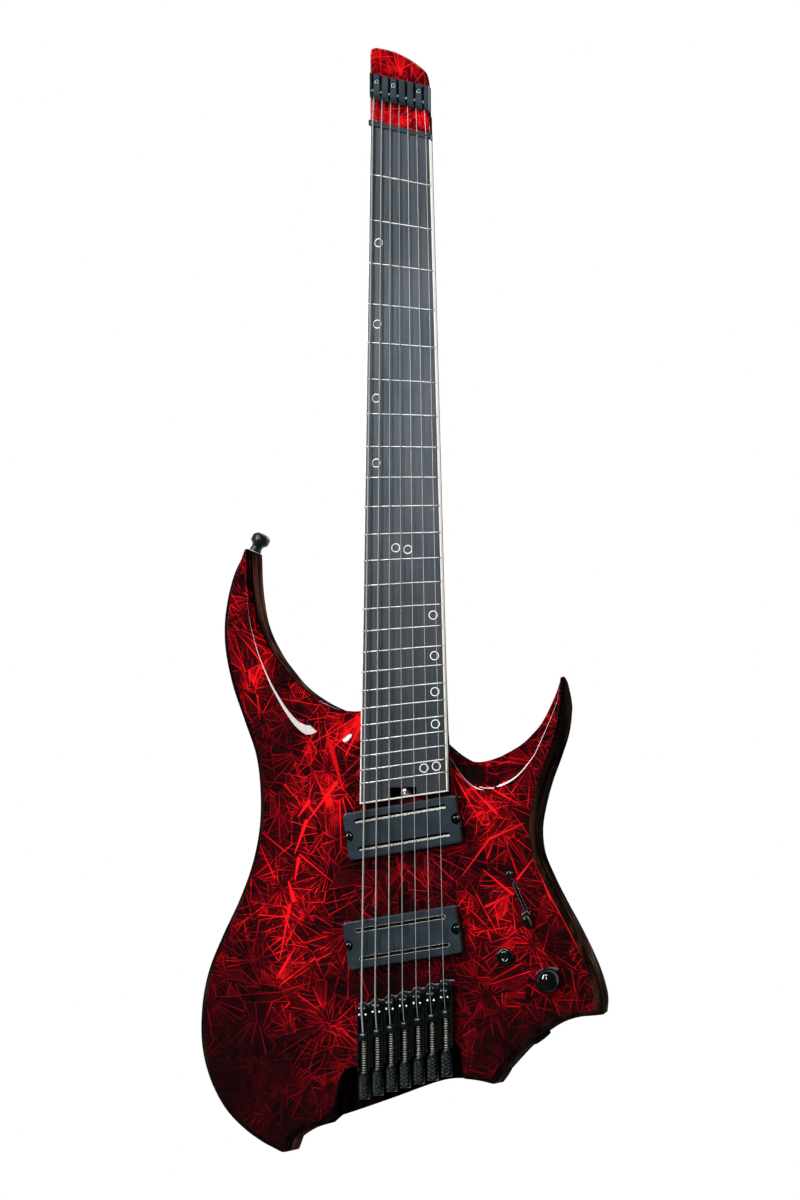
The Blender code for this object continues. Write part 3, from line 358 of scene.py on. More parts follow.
def tilted(centre, x, z, tilt):
    """Point x, z of a frame that is turned by tilt about centre."""
    return (centre[0] + x * math.cos(tilt) - z * math.sin(tilt),
            centre[1] + x * math.sin(tilt) + z * math.cos(tilt))


def corner_points(half_x, half_z, corner, steps):
    """Loop round a rectangle with rounded corners; the halves reach to their centres."""
    loop = []
    for quarter, (sx, sz) in enumerate(((1, 1), (-1, 1), (-1, -1), (1, -1))):
        for k in range(steps + 1):
            angle = math.pi / 2 * (quarter + k / steps)
            loop.append((sx * half_x + corner * math.cos(angle),
                         sz * half_z + corner * math.sin(angle)))
    return loop


def round_rectangle(centre, size, corner, tilt=0.0, steps=6):
    halves = (size[0] / 2 - corner, size[1] / 2 - corner)
    return [tilted(centre, x, z, tilt) for x, z in corner_points(*halves, corner, steps)]


def rounded_plate(loop_at, back, front, radius, steps=4):
    """Plate whose front edge is rounded; loop_at(inset) gives the loop moved inward."""
    rings = [layer(loop_at(0.0), back)]
    for k in range(steps + 1):
        angle = math.pi / 2 * k / steps
        rings.append(layer(loop_at(radius * (1 - math.cos(angle))),
                           front - radius + radius * math.sin(angle)))
    return loft(rings)


# Objects

def linked(name, data):
    """New object of the scene for a block of data."""
    made = bpy.data.objects.new(name, data)
    bpy.context.scene.collection.objects.link(made)
    return made


def smooth(mesh, sharp=EDGE_SHARP):
    mesh.shade_smooth()
    mesh.set_sharp_from_angle(angle=math.radians(sharp))
    return mesh


def make(name, shape, key=None, sharp=EDGE_SHARP):
    """Mesh object of a shape, with the finish that key names."""
    points, faces = shape
    mesh = bpy.data.meshes.new(name)
    mesh.from_pydata([Vector(p) * MM for p in points], [], faces)
    form = bmesh.new()
    form.from_mesh(mesh)
    bmesh.ops.recalc_face_normals(form, faces=form.faces)
    form.to_mesh(mesh)
    form.free()
    if key:
        mesh.materials.append(finish[key])
    return linked(name, smooth(mesh, sharp))


def carve(target, shapes, operation="DIFFERENCE", sharp=EDGE_SHARP):
    """Boolean with each shape in turn, applied at once."""
    tools = [make("tool", shape) for shape in shapes]
    for tool in tools:
        change = target.modifiers.new("change", "BOOLEAN")
        change.operation = operation
        change.solver = "EXACT"
        change.object = tool
    graph = bpy.context.evaluated_depsgraph_get()
    mesh = bpy.data.meshes.new_from_object(target.evaluated_get(graph))
    target.modifiers.clear()
    old = target.data
    target.data = mesh
    bpy.data.meshes.remove(old)
    smooth(mesh, sharp)
    for tool in tools:
        bpy.data.objects.remove(tool)
    return target


def place(made, body=BODY, instead_of=()):
    """Attach a finished piece to the empty of its body and hide the CAD nodes that it takes the
    place of.
    """
    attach(made, body)
    if instead_of:
        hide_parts(*instead_of)
    return made


def piece(name, shape, key, body=BODY, instead_of=(), sharp=EDGE_SHARP, cuts=(),
          weighted=False):
    """Finished piece of a shape, cut by others and with weighted normals where asked for."""
    made = make(name, shape, key, sharp)
    if cuts:
        carve(made, cuts, sharp=sharp)
    if weighted:
        made.modifiers.new("normals", "WEIGHTED_NORMAL").keep_sharp = True
    return place(made, body, instead_of)


# Materials

class Term:
    """Output of a shader node; each operator on it adds one Math node."""

    def __init__(self, socket):
        self.socket = socket

    def __add__(self, other):
        return calc("ADD", self, other)

    def __sub__(self, other):
        return calc("SUBTRACT", self, other)

    def __rsub__(self, other):
        return calc("SUBTRACT", other, self)

    def __mul__(self, other):
        return calc("MULTIPLY", self, other)

    def __truediv__(self, other):
        return calc("DIVIDE", self, other)


def put(socket, value):
    if isinstance(value, Term):
        socket.id_data.links.new(value.socket, socket)
    else:
        socket.default_value = value


def feed(kind, values, **settings):
    """Shader node with its sockets, by name or number, set to values or linked to terms."""
    first = next(value for value in values.values() if isinstance(value, Term))
    made = first.socket.id_data.nodes.new("ShaderNode" + kind)
    for key, value in settings.items():
        setattr(made, key, value)
    for key, value in values.items():
        put(made.inputs[key], value)
    return made


def term(kind, values, output=0, **settings):
    return Term(feed(kind, values, **settings).outputs[output])


def calc(operation, *values, clamp=False):
    return term("Math", dict(enumerate(values)), operation=operation, use_clamp=clamp)


def larger(first, second):
    return calc("MAXIMUM", first, second)


def vector_calc(operation, *values, output=0):
    return term("VectorMath", dict(enumerate(values)), output, operation=operation)


def scaled(vector, factor):
    return term("VectorMath", {0: vector, "Scale": factor}, operation="SCALE")


def length(vector):
    return vector_calc("LENGTH", vector, output="Value")


def spread(value, low, high, to_low=0.0, to_high=1.0):
    """Smooth step of value from [low, high] to [to_low, to_high]."""
    return term("MapRange", {"Value": value, "From Min": low, "From Max": high,
                             "To Min": to_low, "To Max": to_high},
                "Result", interpolation_type="SMOOTHSTEP")


def choose(factor, first, second):
    return term("Mix", {"Factor": factor, "A": first, "B": second})


def mix_colour(factor, first, second, mode="MIX"):
    first, second = ((*c, 1.0) if isinstance(c, tuple) else c for c in (first, second))
    return term("Mix", {"Factor": factor, 6: first, 7: second}, 2,
                data_type="RGBA", blend_type=mode)


def dimmed(colour, shade):
    grey = term("CombineColor", {"Red": shade, "Green": shade, "Blue": shade})
    return mix_colour(1.0, colour, grey, "MULTIPLY")


def split(value, kind="XYZ"):
    """The three parts of a vector, or of a colour."""
    socket = "Vector" if kind == "XYZ" else kind
    return [Term(part) for part in feed("Separate" + kind, {socket: value}).outputs]


def coordinates(tree, output):
    return Term(tree.nodes.new("ShaderNodeTexCoord").outputs[output])


def place_mm(tree):
    """Position in the row frame, in millimetres: the vector and its three parts."""
    vector = scaled(coordinates(tree, "Object"), 1000.0)
    return (vector, *split(vector))


def noise(vector, size, detail=3.0, roughness=0.5, stretch=None):
    """Noise value with blotches about size millimetres across."""
    if stretch:
        vector = vector_calc("MULTIPLY", vector, stretch)
    return term("TexNoise", {"Vector": vector, "Scale": 1.0 / size, "Detail": detail,
                             "Roughness": roughness})


def cells(feature, size, output, **where):
    """Output of a Voronoi texture, 2D for a Vector and 1D for a W."""
    return term("TexVoronoi", {**where, "Scale": 1.0 / size, "Randomness": 1.0}, output,
                feature=feature, voronoi_dimensions="2D" if "Vector" in where else "1D")


def bump(shader, height, strength, distance_mm):
    put(shader["Normal"], term("Bump", {"Height": height, "Strength": strength,
                                        "Distance": distance_mm * MM}))


def new_material(name, colour, roughness, metallic=0.0, coat=0.0, coat_roughness=0.03,
                 shine=0.5):
    """Material and the inputs of its shader, with its even values set."""
    made = bpy.data.materials.new(name)
    made.use_nodes = True
    shader = made.node_tree.nodes["Principled BSDF"].inputs
    for key, value in (("Base Color", (*colour, 1.0)), ("Roughness", roughness),
                       ("Metallic", metallic), ("Coat Weight", coat),
                       ("Coat Roughness", coat_roughness), ("Specular IOR Level", shine)):
        shader[key].default_value = value
    return made, shader


def fan_layer(flat, size, wedges, shift, turn, stretch, line):
    """Straight-edged cells, each crossed by a fan of rays: (level, rays, cell tints)."""
    rotated = term("VectorRotate", {"Vector": flat, "Angle": math.radians(turn)})
    shifted = vector_calc("ADD", vector_calc("MULTIPLY", rotated, (1.0 / stretch, 1.0, 1.0)),
                          shift)
    cell = feed("TexVoronoi", {"Vector": shifted, "Scale": 1.0 / size, "Randomness": 1.0},
                feature="F1", voronoi_dimensions="2D").outputs
    colour = Term(cell["Color"])
    tint = split(colour, "Color")
    apex = scaled(vector_calc("SUBTRACT", colour, (0.5, 0.5, 0.5)), size * 1.25)
    away = vector_calc("SUBTRACT", vector_calc("SUBTRACT", shifted, Term(cell["Position"])),
                       apex)
    across, up, _ = split(away)
    reach = length(term("CombineXYZ", {"X": across, "Y": up}))
    round_share = calc("ARCTAN2", up, across) / (2 * math.pi)
    seed = tint[2] * 57.0
    angle = round_share * float(wedges) + seed
    tone = split(cells("F1", 1.0, "Color", W=angle), "Color")
    gap = cells("DISTANCE_TO_EDGE", 1.0, "Distance", W=angle)
    arc = gap * (reach * (2 * math.pi / wedges))
    width = (calc("POWER", tone[1], 3.0) + 0.42) * line + reach * 0.006
    rays = spread(arc / width, 0.25, 1.0, 1.0, 0.0) * spread(tone[2], 0.12, 0.5, 0.35, 1.0)
    begin = spread(reach, size * 0.04, size * 0.30, 0.25, 1.0)
    rays = rays * begin
    rim_gap = cells("DISTANCE_TO_EDGE", size, "Distance", Vector=shifted) * size
    rim = spread(rim_gap, line * 0.2, line * 0.9, 1.0, 0.0) * spread(tint[1], 0.5, 0.7, 0.0, 0.7)
    finer = wedges * 8.0
    fine_gap = cells("DISTANCE_TO_EDGE", 1.0, "Distance", W=round_share * finer + seed)
    fine_arc = fine_gap * (reach * (2 * math.pi / finer))
    fine = spread(fine_arc, 0.02, 0.26, 1.0, 0.0) * begin
    fill = spread(tone[0], 0.55, 1.0) * (fine * 0.50 + 0.16)
    haze = fine * spread(tone[2], 0.2, 0.8, 0.14, 0.38)
    return larger(larger(rays, rim), larger(fill, haze)), rays, tint


def spot(x, z, centre, size):
    """Soft round or oval patch of 1 at centre falling to 0 at size."""
    dx = (x - centre[0]) / size[0]
    dz = (z - centre[1]) / size[1]
    return spread(calc("SQRT", dx * dx + dz * dz), 0.0, 1.0, 1.0, 0.0)


def streak(flat, start, end, width):
    """Long thin wedge of 1, widest at its start."""
    run = (end[0] - start[0], end[1] - start[1], 0.0)
    away = vector_calc("SUBTRACT", flat, (*start, 0.0))
    share = calc("DIVIDE", vector_calc("DOT_PRODUCT", away, run, output="Value"),
                 run[0] ** 2 + run[1] ** 2, clamp=True)
    foot = term("CombineXYZ", {"X": share * run[0], "Y": share * run[1]})
    gap = length(vector_calc("SUBTRACT", away, foot))
    return spread(gap / (width - share * (width * 0.75)), 0.3, 1.0, 1.0, 0.0)


# Patches where the red pattern is brighter or darker: partly the finish's own uneven tone, partly
# painted light and shade. The bright patches on the bass scoop at (-50, 205) and on the bass horn
# at (-118, 250) are a painted sheen.
BRIGHT_TONE_AND_LIGHT_SPOTS = [((-66, 150), (40, 84), 1.8), ((-84, 50), (50, 100), 1.35),
                ((-112, 66), (30, 40), 1.2), ((64, 145), (44, 62), 1.6), ((70, 60), (60, 50), 1.0),
                ((-84, 234), (20, 18), 2.8), ((-134, 300), (20, 50), 0.4),
                ((0, 88), (90, 30), 0.4), ((-50, 205), (46, 38), 2.4), ((-118, 250), (24, 46), 1.5),
                ((108, 212), (18, 40), 1.3), ((4, 712), (50, 34), 1.45), ((2, 672), (60, 26), 3.3),
                ((-40, -20), (50, 36), 0.55), ((100, 20), (46, 40), 0.7)]
DARK_TONE_AND_SHADE_SPOTS = [((-150, -60), (96, 100)), ((-90, -112), (100, 70)), ((-128, 170), (26, 56)),
              ((92, -34), (70, 40)), ((0, 4), (54, 32)), ((50, 184), (36, 18))]
STREAKS = [((-54, 163), (-78, 133), 2.6, 1.00), ((-76, 149), (-84, 138), 3.0, 1.00),
           ((-78, 134), (-87, 110), 2.6, 1.00), ((-84, 106), (-87, 90), 2.6, 1.00),
           ((-88, 75), (-92, 89), 3.4, 1.00), ((-95, 162), (-80, 145), 0.9, 0.90),
           ((-95, 112), (-114, 127), 1.1, 0.80), ((-103, 92), (-115, 117), 1.3, 0.80),
           ((-83, 109), (-57, 88), 1.4, 0.90), ((64, 119), (90, 130), 1.6, 0.95),
           ((64, 119), (43, 92), 1.5, 0.90), ((95, 121), (98, 101), 1.6, 0.95),
           ((99, 103), (110, 73), 2.3, 1.00), ((109, 78), (121, 56), 1.9, 0.95),
           ((121, 56), (135, 28), 1.3, 0.80), ((85, 89), (98, 105), 1.6, 0.95),
           ((61, 69), (79, 77), 1.8, 0.90), ((81, 78), (59, 96), 2.0, 0.90),
           ((-91, 71), (-99, 30), 2.4, 0.90), ((-59, 192), (-49, 157), 4.0, 0.75)]
RED_STOPS = [(0.0, (0.0040, 0.0012, 0.0018)), (0.18, (0.030, 0.0010, 0.0022)),
             (0.45, (0.19, 0.0016, 0.0040)), (0.75, (0.58, 0.0030, 0.0070)),
             (1.0, (0.92, 0.0080, 0.0110))]
HEAD_FROM = 652.0


def red_level(flat, vector, x, z):
    """Brightness of the red pattern, from 0 for the dark ground to 1."""
    large, long_rays, _ = fan_layer(flat, 33.0, 20, (11.0, 57.0, 0.0), 24.0, 1.35, 0.75)
    middle, rays, middle_tint = fan_layer(flat, 22.0, 16, (203.0, 91.0, 0.0), -38.0, 1.5, 0.5)
    small, _, small_tint = fan_layer(flat, 13.0, 12, (71.0, 311.0, 0.0), 71.0, 1.6, 0.38)
    _, needles, other_tint = fan_layer(flat, 17.0, 11, (401.0, 17.0, 0.0), 8.0, 1.9, 0.42)
    level = choose(spread(middle_tint[0], 0.45, 0.46), large, middle)
    pick = larger(spread(small_tint[1], 0.60, 0.61), spread(z, HEAD_FROM, HEAD_FROM + 1.0))
    level = choose(pick, level, small)
    level = larger(level, needles * spread(other_tint[1], 0.3, 0.6, 0.25, 0.80))
    level = larger(larger(level, long_rays * 0.6), rays * 0.45)
    cloud = spread(noise(vector, 13.0, 3.0, 0.6, (1.0, 1.0, 0.6)), 0.47, 0.72)
    light = dark = 0.0
    for centre, size, strength in BRIGHT_TONE_AND_LIGHT_SPOTS:
        light = larger(light, spot(x, z, centre, size) * strength)
    for centre, size in DARK_TONE_AND_SHADE_SPOTS:
        dark = larger(dark, spot(x, z, centre, size))
    # The patches lay painted light and shade over the pattern's own tone.
    level = level + cloud * light * 0.5 * (level + 0.35)
    macro = (light * 0.5 + 0.64) * (1.0 - dark * 0.74)
    macro = macro * spread(noise(vector, 21.0, 2.0), 0.3, 0.6, 0.6, 1.1)
    level = level * macro + spread(z, HEAD_FROM + 3.0, HEAD_FROM + 16.0, 0.0, 0.15)
    for start, end, width, strength in STREAKS:
        level = larger(level, streak(flat, start, end, width) * strength)
    return level


def crystal_finish():
    """Red shards and fans of straight lines on near black, under a clear coat."""
    made, shader = new_material("crystal_red", (0.4, 0.0, 0.01), 0.5, coat_roughness=0.02,
                                shine=0.0)
    shader["Coat IOR"].default_value = 1.5
    vector, x, _, z = place_mm(made.node_tree)
    flat = term("CombineXYZ", {"X": x, "Y": z})
    normal = split(coordinates(made.node_tree, "Normal"))
    facing = normal[1] * -1.0
    inward = spread(normal[0] * x, -6.0, -1.0, 1.0, 0.0)
    upward = normal[2] - calc("ABSOLUTE", normal[0]) * 0.6
    scoop = spread(z, 172.0, 180.0) * larger(inward, spread(upward, 0.0, 0.08))

    def rim(low, high, *ends):
        """Step over the rounded rim, set by two pairs: outside and inside the scoop."""
        return spread(facing, spread(scoop, 0.0, 1.0, *low), spread(scoop, 0.0, 1.0, *high),
                      *ends)
    level = red_level(flat, vector, x, z) * rim((0.86, 0.14), (0.955, 0.42), 0.08, 1.0)
    ramp = feed("ValToRGB", {0: level})
    stops = ramp.color_ramp.elements
    stops.remove(stops[1])
    stops[0].position, stops[0].color = RED_STOPS[0][0], (*RED_STOPS[0][1], 1.0)
    for position, colour in RED_STOPS[1:]:
        stops.new(position).color = (*colour, 1.0)
    grain = noise(vector, 9.0, 5.0, 0.6, (1.0, 1.0, 0.18))
    edge = mix_colour(spread(grain, 0.42, 0.66), (0.008, 0.005, 0.004), WOOD_LIGHT)
    # Painted shade on the wood-coloured walls and bevels: darker to the bass side, on faces that
    # look down, and from the waist up.
    shade = spread(x, -80.0, 60.0, 0.3, 1.0) * spread(normal[2], -0.4, 0.0, 0.3, 1.0)
    shade = shade * spread(z, 110.0, 165.0, 1.0, 0.4)
    edge = mix_colour(shade, (0.003, 0.002, 0.002), edge)
    put(shader["Base Color"], mix_colour(rim((0.80, 0.08), (0.91, 0.24)), edge,
                                         Term(ramp.outputs[0])))
    dull = spread(spot(x, z, (-40.0, 206.0), (27.0, 25.0)), 0.0, 0.3)
    kept = streak(flat, (-48.0, 194.0), (-39.5, 203.0), 3.0)
    put(shader["Coat Weight"],
        spread(facing, 0.84, 0.95) * (1.0 - calc("SUBTRACT", dull, kept, clamp=True)))
    return made


def stained_wood():
    """Dark stained wood: red-brown on the bass side, olive on the treble side, with painted light
    and shade by place and by facing.
    """
    made, shader = new_material("stained_wood", (0.03, 0.02, 0.015), 0.42, shine=0.0)
    vector, x, y, z = place_mm(made.node_tree)
    grain = noise(vector, 7.0, 6.0, 0.62, (1.0, 1.0, 0.10))
    colour = mix_colour(spread(grain, 0.40, 0.70), (0.006, 0.0045, 0.0045), WOOD_LIGHT)
    olive = mix_colour(spread(grain, 0.45, 0.75), (0.006, 0.005, 0.004), (0.062, 0.040, 0.024))
    colour = mix_colour(spread(x, 20.0, 90.0, 0.0, 0.8), colour, olive)
    shade = spread(noise(vector, 60.0, 2.0), 0.35, 0.65, 0.9, 2.4)
    # Lighter high up on the bass horn's inner wall.
    shade = shade + spread(z, 215.0, 260.0, 0.0, 0.4) * spread(x, 0.0, -60.0)
    # Painted light and shade: lighter on the lower body, darker on the treble side from the waist
    # up.
    shade = shade * larger(spread(x, 60.0, 80.0, 1.0, 0.0), spread(z, 45.0, 110.0, 2.1, 0.6))
    # Painted shade in the tail recess: darker low down between x -70 and 50, deeper than about 5 mm
    # from the back.
    beside = larger(spread(x, -76.0, -68.0, 1.0, 0.0) + spread(x, 48.0, 56.0),
                    spread(y, -12.0, -5.0))
    shade = shade * larger(beside, spread(z, -36.0, -22.0, 0.25, 1.0))
    normal = split(coordinates(made.node_tree, "Normal"))
    # Painted shade on wood that faces forward, the floors of the recesses, and on faces that look
    # down.
    shade = shade * spread(normal[1], -0.9, -0.6, 0.12, 1.0)
    shade = shade * spread(normal[2], -0.6, -0.1, 0.35, 1.0)
    put(shader["Base Color"], dimmed(colour, shade))
    return made


def board_wood():
    """Grey-blue fretboard wood, with painted shade: darker towards the body and a little towards
    the nut.
    """
    made, shader = new_material("board_wood", (0.08, 0.1, 0.115), 0.5, shine=0.12)
    vector, _, _, z = place_mm(made.node_tree)
    grain = noise(vector, 2.6, 6.0, 0.7, (1.0, 1.0, 0.05))
    broad = noise(vector, 28.0, 2.0, 0.5, (1.0, 1.0, 0.5))
    colour = mix_colour(spread(grain, 0.3, 0.7), (0.046, 0.066, 0.084), (0.094, 0.120, 0.146))
    colour = mix_colour(spread(broad, 0.35, 0.7, 0.0, 0.6), colour, (0.120, 0.128, 0.150))
    # Painted shade along the board: brightest near the fifth fret.
    shade = spread(z, 150.0, 480.0, 0.32, 0.86) * spread(z, 520.0, 600.0, 1.0, 0.66)
    put(shader["Base Color"], dimmed(colour, shade))
    bump(shader, grain, 0.25, 0.08)
    return made


def plain(name, colour, roughness, metallic=0.0, coat=0.0, vary=0.25, grit=0.06,
          coat_roughness=0.05, shine=0.5):
    """Even finish with a little uneven colour, roughness and surface grain."""
    made, shader = new_material(name, colour, roughness, metallic, coat, coat_roughness, shine)
    vector = place_mm(made.node_tree)[0]
    darker = tuple(c * (1 - vary) for c in colour)
    lighter = tuple(min(1.0, c * (1 + vary)) for c in colour)
    put(shader["Base Color"], mix_colour(spread(noise(vector, 12.0), 0.3, 0.7), darker, lighter))
    specks = noise(vector, 0.35, 2.0)
    put(shader["Roughness"], specks * 0.1 + (roughness - 0.05))
    bump(shader, specks, 0.2, grit)
    return made


def wound_wire():
    """Steel wire wound crosswise, as fine ridges along the string, with painted shade in the
    grooves.
    """
    made, shader = new_material("wound_wire", (0.62, 0.60, 0.57), 0.45, 0.5)
    ridge = calc("SINE", place_mm(made.node_tree)[3] * (2 * math.pi / 0.45))
    # Painted shade in the grooves between the windings: the colour darkens where the ridge sinks.
    put(shader["Base Color"],
        mix_colour(spread(ridge, -1.0, 1.0), (0.20, 0.20, 0.19), (0.52, 0.51, 0.49)))
    bump(shader, ridge, 0.6, 0.06)
    return made


def finishes():
    """All finishes by key; the names of the materials say what they coat."""
    made = {"crystal": crystal_finish(), "wood": stained_wood(), "board": board_wood(),
            "wound_wire": wound_wire()}
    for key, name, colour, roughness, more in (
            ("cream", "cream_binding", (0.78, 0.75, 0.68), 0.35, {"vary": 0.06}),
            ("black", "black_coating", (0.003, 0.005, 0.005), 0.14,
             {"grit": 0.01, "shine": 0.35}),
            ("dome", "volume_gloss", (0.002, 0.003, 0.003), 0.06, {"grit": 0.0, "shine": 0.6}),
            ("gloss", "black_gloss", (0.003, 0.005, 0.005), 0.10, {"grit": 0.0}),
            ("slate", "pickup_cover", (0.015, 0.025, 0.033), 0.34,
             {"coat": 0.6, "grit": 0.03, "coat_roughness": 0.08, "shine": 0.1}),
            ("dark", "dark_recess", (0.004, 0.005, 0.005), 0.6, {"shine": 0.0}),
            ("steel", "bright_steel", (0.72, 0.71, 0.68), 0.24,
             {"metallic": 1.0, "vary": 0.1, "grit": 0.01}),
            ("nickel", "fret_wire", (0.62, 0.62, 0.61), 0.32,
             {"metallic": 0.9, "vary": 0.06, "grit": 0.0}),
            ("inlay", "ring_white", (0.90, 0.91, 0.90), 0.35, {"vary": 0.04, "grit": 0.0}),
            ("plain_wire", "plain_wire", (0.50, 0.50, 0.49), 0.40,
             {"metallic": 0.6, "vary": 0.05, "grit": 0.0}),
            ("thread", "thread_steel", (0.86, 0.80, 0.69), 0.30,
             {"metallic": 0.85, "vary": 0.1, "grit": 0.0}),
            ("slate_dark", "clamp_coating", (0.020, 0.030, 0.038), 0.40,
             {"grit": 0.03, "shine": 0.08}),
            ("steel_dark", "dark_steel", (0.10, 0.12, 0.13), 0.25,
             {"metallic": 0.9, "grit": 0.01}),
            ("knurl", "knurl_coating", (0.004, 0.008, 0.008), 0.10,
             {"grit": 0.0, "shine": 0.25}),
            ("cover", "cover_plastic", (0.022, 0.024, 0.026), 0.42,
             {"grit": 0.05, "shine": 0.25}),
            ("satin", "satin_black", (0.012, 0.015, 0.016), 0.22,
             {"metallic": 0.2, "grit": 0.0, "shine": 0.35})):
        made[key] = plain(name, colour, roughness, **more)
    return made


# Body

def cove(share, straight):
    """Part of the drop left at a share of the width: an even slope, then a round to flat."""
    bend = 1.0 / (1.0 - straight ** 2)
    if share > straight:
        return bend * (1.0 - share) ** 2
    return bend * (1.0 - straight) * (1.0 + straight - 2.0 * share)


def body_rings(outline):
    """Rings of the carved front: rounded wall edge, then a scoop that flattens to the crease."""
    loop = [p[:2] for p in outline]
    rims = [min(RIM, p[2] * 0.25) for p in outline]
    rings = [layer(loop, CORE_FRONT)]
    for k in range(5):
        angle = math.pi / 8 * k
        moved = inset(loop, [rim * (1 - math.cos(angle)) for rim in rims])
        rings.append([(x, -(BODY_THICK - p[3] - RIM * (1 - math.sin(angle))), z)
                      for (x, z), p in zip(moved, outline)])
    for k in range(1, SCOOP_STEPS + 1):
        share = 1.0 - (1.0 - k / SCOOP_STEPS) ** 1.3
        inner = inset(loop, [rim + (p[2] - rim) * share for rim, p in zip(rims, outline)])
        rings.append([(x, -(BODY_THICK - p[3] * cove(share, p[4])), z)
                      for (x, z), p in zip(inner, outline)])
    return rings


def neck_pocket():
    loop = [fan(t, u, fan_half(min(t, BOARD_END)) + 0.3)
            for t, u in ((BOARD_END + 0.0012, -1), (BOARD_END + 0.0012, 1), (0.62, 1), (0.62, -1))]
    return plate(loop, POCKET_FLOOR, FAR)


def pickup_plate(name, margin, corner, back, front, steps=6):
    """Plate like a pickup, larger by margin in both directions."""
    size = (PICKUP_LENGTH + margin, PICKUP_WIDTH + margin)
    return plate(round_rectangle(PICKUP_CENTRES[name], size, corner, PICKUP_TILT, steps),
                 back, front)


def switch_point(along, across=0.0):
    return (SWITCH_CENTRE[0] + along * math.sin(SWITCH_LEAN) + across * math.cos(SWITCH_LEAN),
            SWITCH_CENTRE[1] - along * math.cos(SWITCH_LEAN) + across * math.sin(SWITCH_LEAN))


def switch_slot(long, wide, back, front):
    """Plate with round ends along the switch's slot."""
    loop = []
    for end in (1, -1):
        for k in range(9):
            angle = math.pi * k / 8 - (0 if end > 0 else math.pi)
            loop.append(switch_point(end * (long - wide) / 2 + wide / 2 * math.sin(angle),
                                     wide / 2 * math.cos(angle)))
    return plate(loop, back, front)


def build_body():
    outline = body_outline(2.5)
    recesses = [neck_pocket(), *(pickup_plate(name, 1.2, 3.6, 25.0, FAR)
                                 for name in PICKUP_CENTRES),
                plate(CONTROL_CAVITY, -FAR, 34.0)]
    piece("top_carved", loft(body_rings(outline)), "crystal",
          instead_of=("body_top",), sharp=60.0, weighted=True,
          cuts=recesses + [plate(TAIL_RECESS, CORE_FRONT - 5, FAR),
                           switch_slot(31.0, 3.0, 20.0, FAR),
                           bar(5.9, 20.0, FAR, *BUTTON_CENTRE),
                           bar(4.3, 20.0, FAR, *VOLUME_CENTRE)])
    loop = [p[:2] for p in outline]
    rounds = [min(REAR_ROUND, p[2] * 0.8) for p in outline]
    rings = []
    for k in range(6):
        angle = math.pi / 2 * k / 5
        moved = inset(loop, [r * (1 - math.cos(angle)) for r in rounds])
        rings.append(layer(moved, REAR_ROUND * (1 - math.sin(angle))))
    relief = loft([[(x, -depth, z) for depth, z in HORN_RELIEF] for x in (95.0, 135.0)])
    seat = plate(inset(CONTROL_CAVITY, [-5.0] * len(CONTROL_CAVITY)), -FAR, 2.3)
    piece("core_stained", loft(rings[::-1] + [layer(loop, CORE_FRONT)]), "wood",
          instead_of=("body_core",), sharp=40.0, cuts=recesses + [relief, seat], weighted=True)


# Neck, board and head

def neck_ring(t, depth, bass_power, treble_power):
    """Section of the neck's back, a rounder or squarer half on each side."""
    steps = 36
    ring = []
    for k in range(steps + 1):
        angle = math.pi * k / steps
        power = bass_power if k < steps / 2 else treble_power
        across = -math.copysign(abs(math.cos(angle)) ** (2 / power), math.cos(angle))
        below = math.sin(angle) ** (2 / power) * (depth - 0.6)
        x, z = fan(t, across)
        ring.append((x, -(NECK_FRONT - 0.6 - below), z))
    return ring + layer([fan(t, 1), fan(t, -1)], NECK_FRONT)


def neck_stations():
    """Neck sections between the stated ones, eased so that no ring shows as a corner."""
    result = []
    for first, second in zip(NECK_SECTIONS, NECK_SECTIONS[1:]):
        pieces = max(2, round((second[0] - first[0]) / 0.02))
        for k in range(pieces):
            share = k / pieces
            eased = share * share * (3 - 2 * share)
            result.append([first[0] + (second[0] - first[0]) * share]
                          + [a + (b - a) * eased for a, b in zip(first[1:], second[1:])])
    return result + [NECK_SECTIONS[-1]]


def head_loop(start, narrower=0.0):
    loop = [fan(start, -1, 24.2)]
    for run, step in ((HEAD_LEFT_TOP + HEAD_CURVE[:1], 1.0), (HEAD_CURVE, 1.5)):
        loop += [tuple(p)[:2] for p in smooth_run([(x, z, 0.0, 0.0) for x, z in run], step)]
    loop += [HEAD_CURVE[-1], fan(start, 1, 23.8)]
    return inset(loop, [narrower] * len(loop))


def wheel_recess(back, front=FAR):
    foot = fan(BOARD_END, 0)[1]
    return box(-NOTCH_HALF, NOTCH_HALF, back, front, foot - NOTCH_BELOW, foot + NOTCH_ABOVE)


def build_neck():
    head = loft([layer(head_loop(-0.012, narrower), depth) for depth, narrower in HEAD_ROUND])
    neck = make("neck_back", loft([neck_ring(*s) for s in neck_stations()]), "wood")
    carve(carve(neck, [head], "UNION"), [wheel_recess(33.6)])
    neck.modifiers.new("normals", "WEIGHTED_NORMAL").keep_sharp = True
    place(neck, instead_of=("neck",))
    overlay = rounded_plate(lambda w: head_loop(along_offset(0.0, -NUT_LENGTH - 0.3), w),
                            BOARD_BACK, HEAD_FACE, 0.8)
    piece("head_face", overlay, "crystal", instead_of=("head_overlay",),
          weighted=True)


def board_ring(t):
    line = across_fan(t, fan_half(t) - BINDING - 0.05)
    return [(x, -crown(x), z) for x, z in line] + layer(line, BOARD_BACK)[::-1]


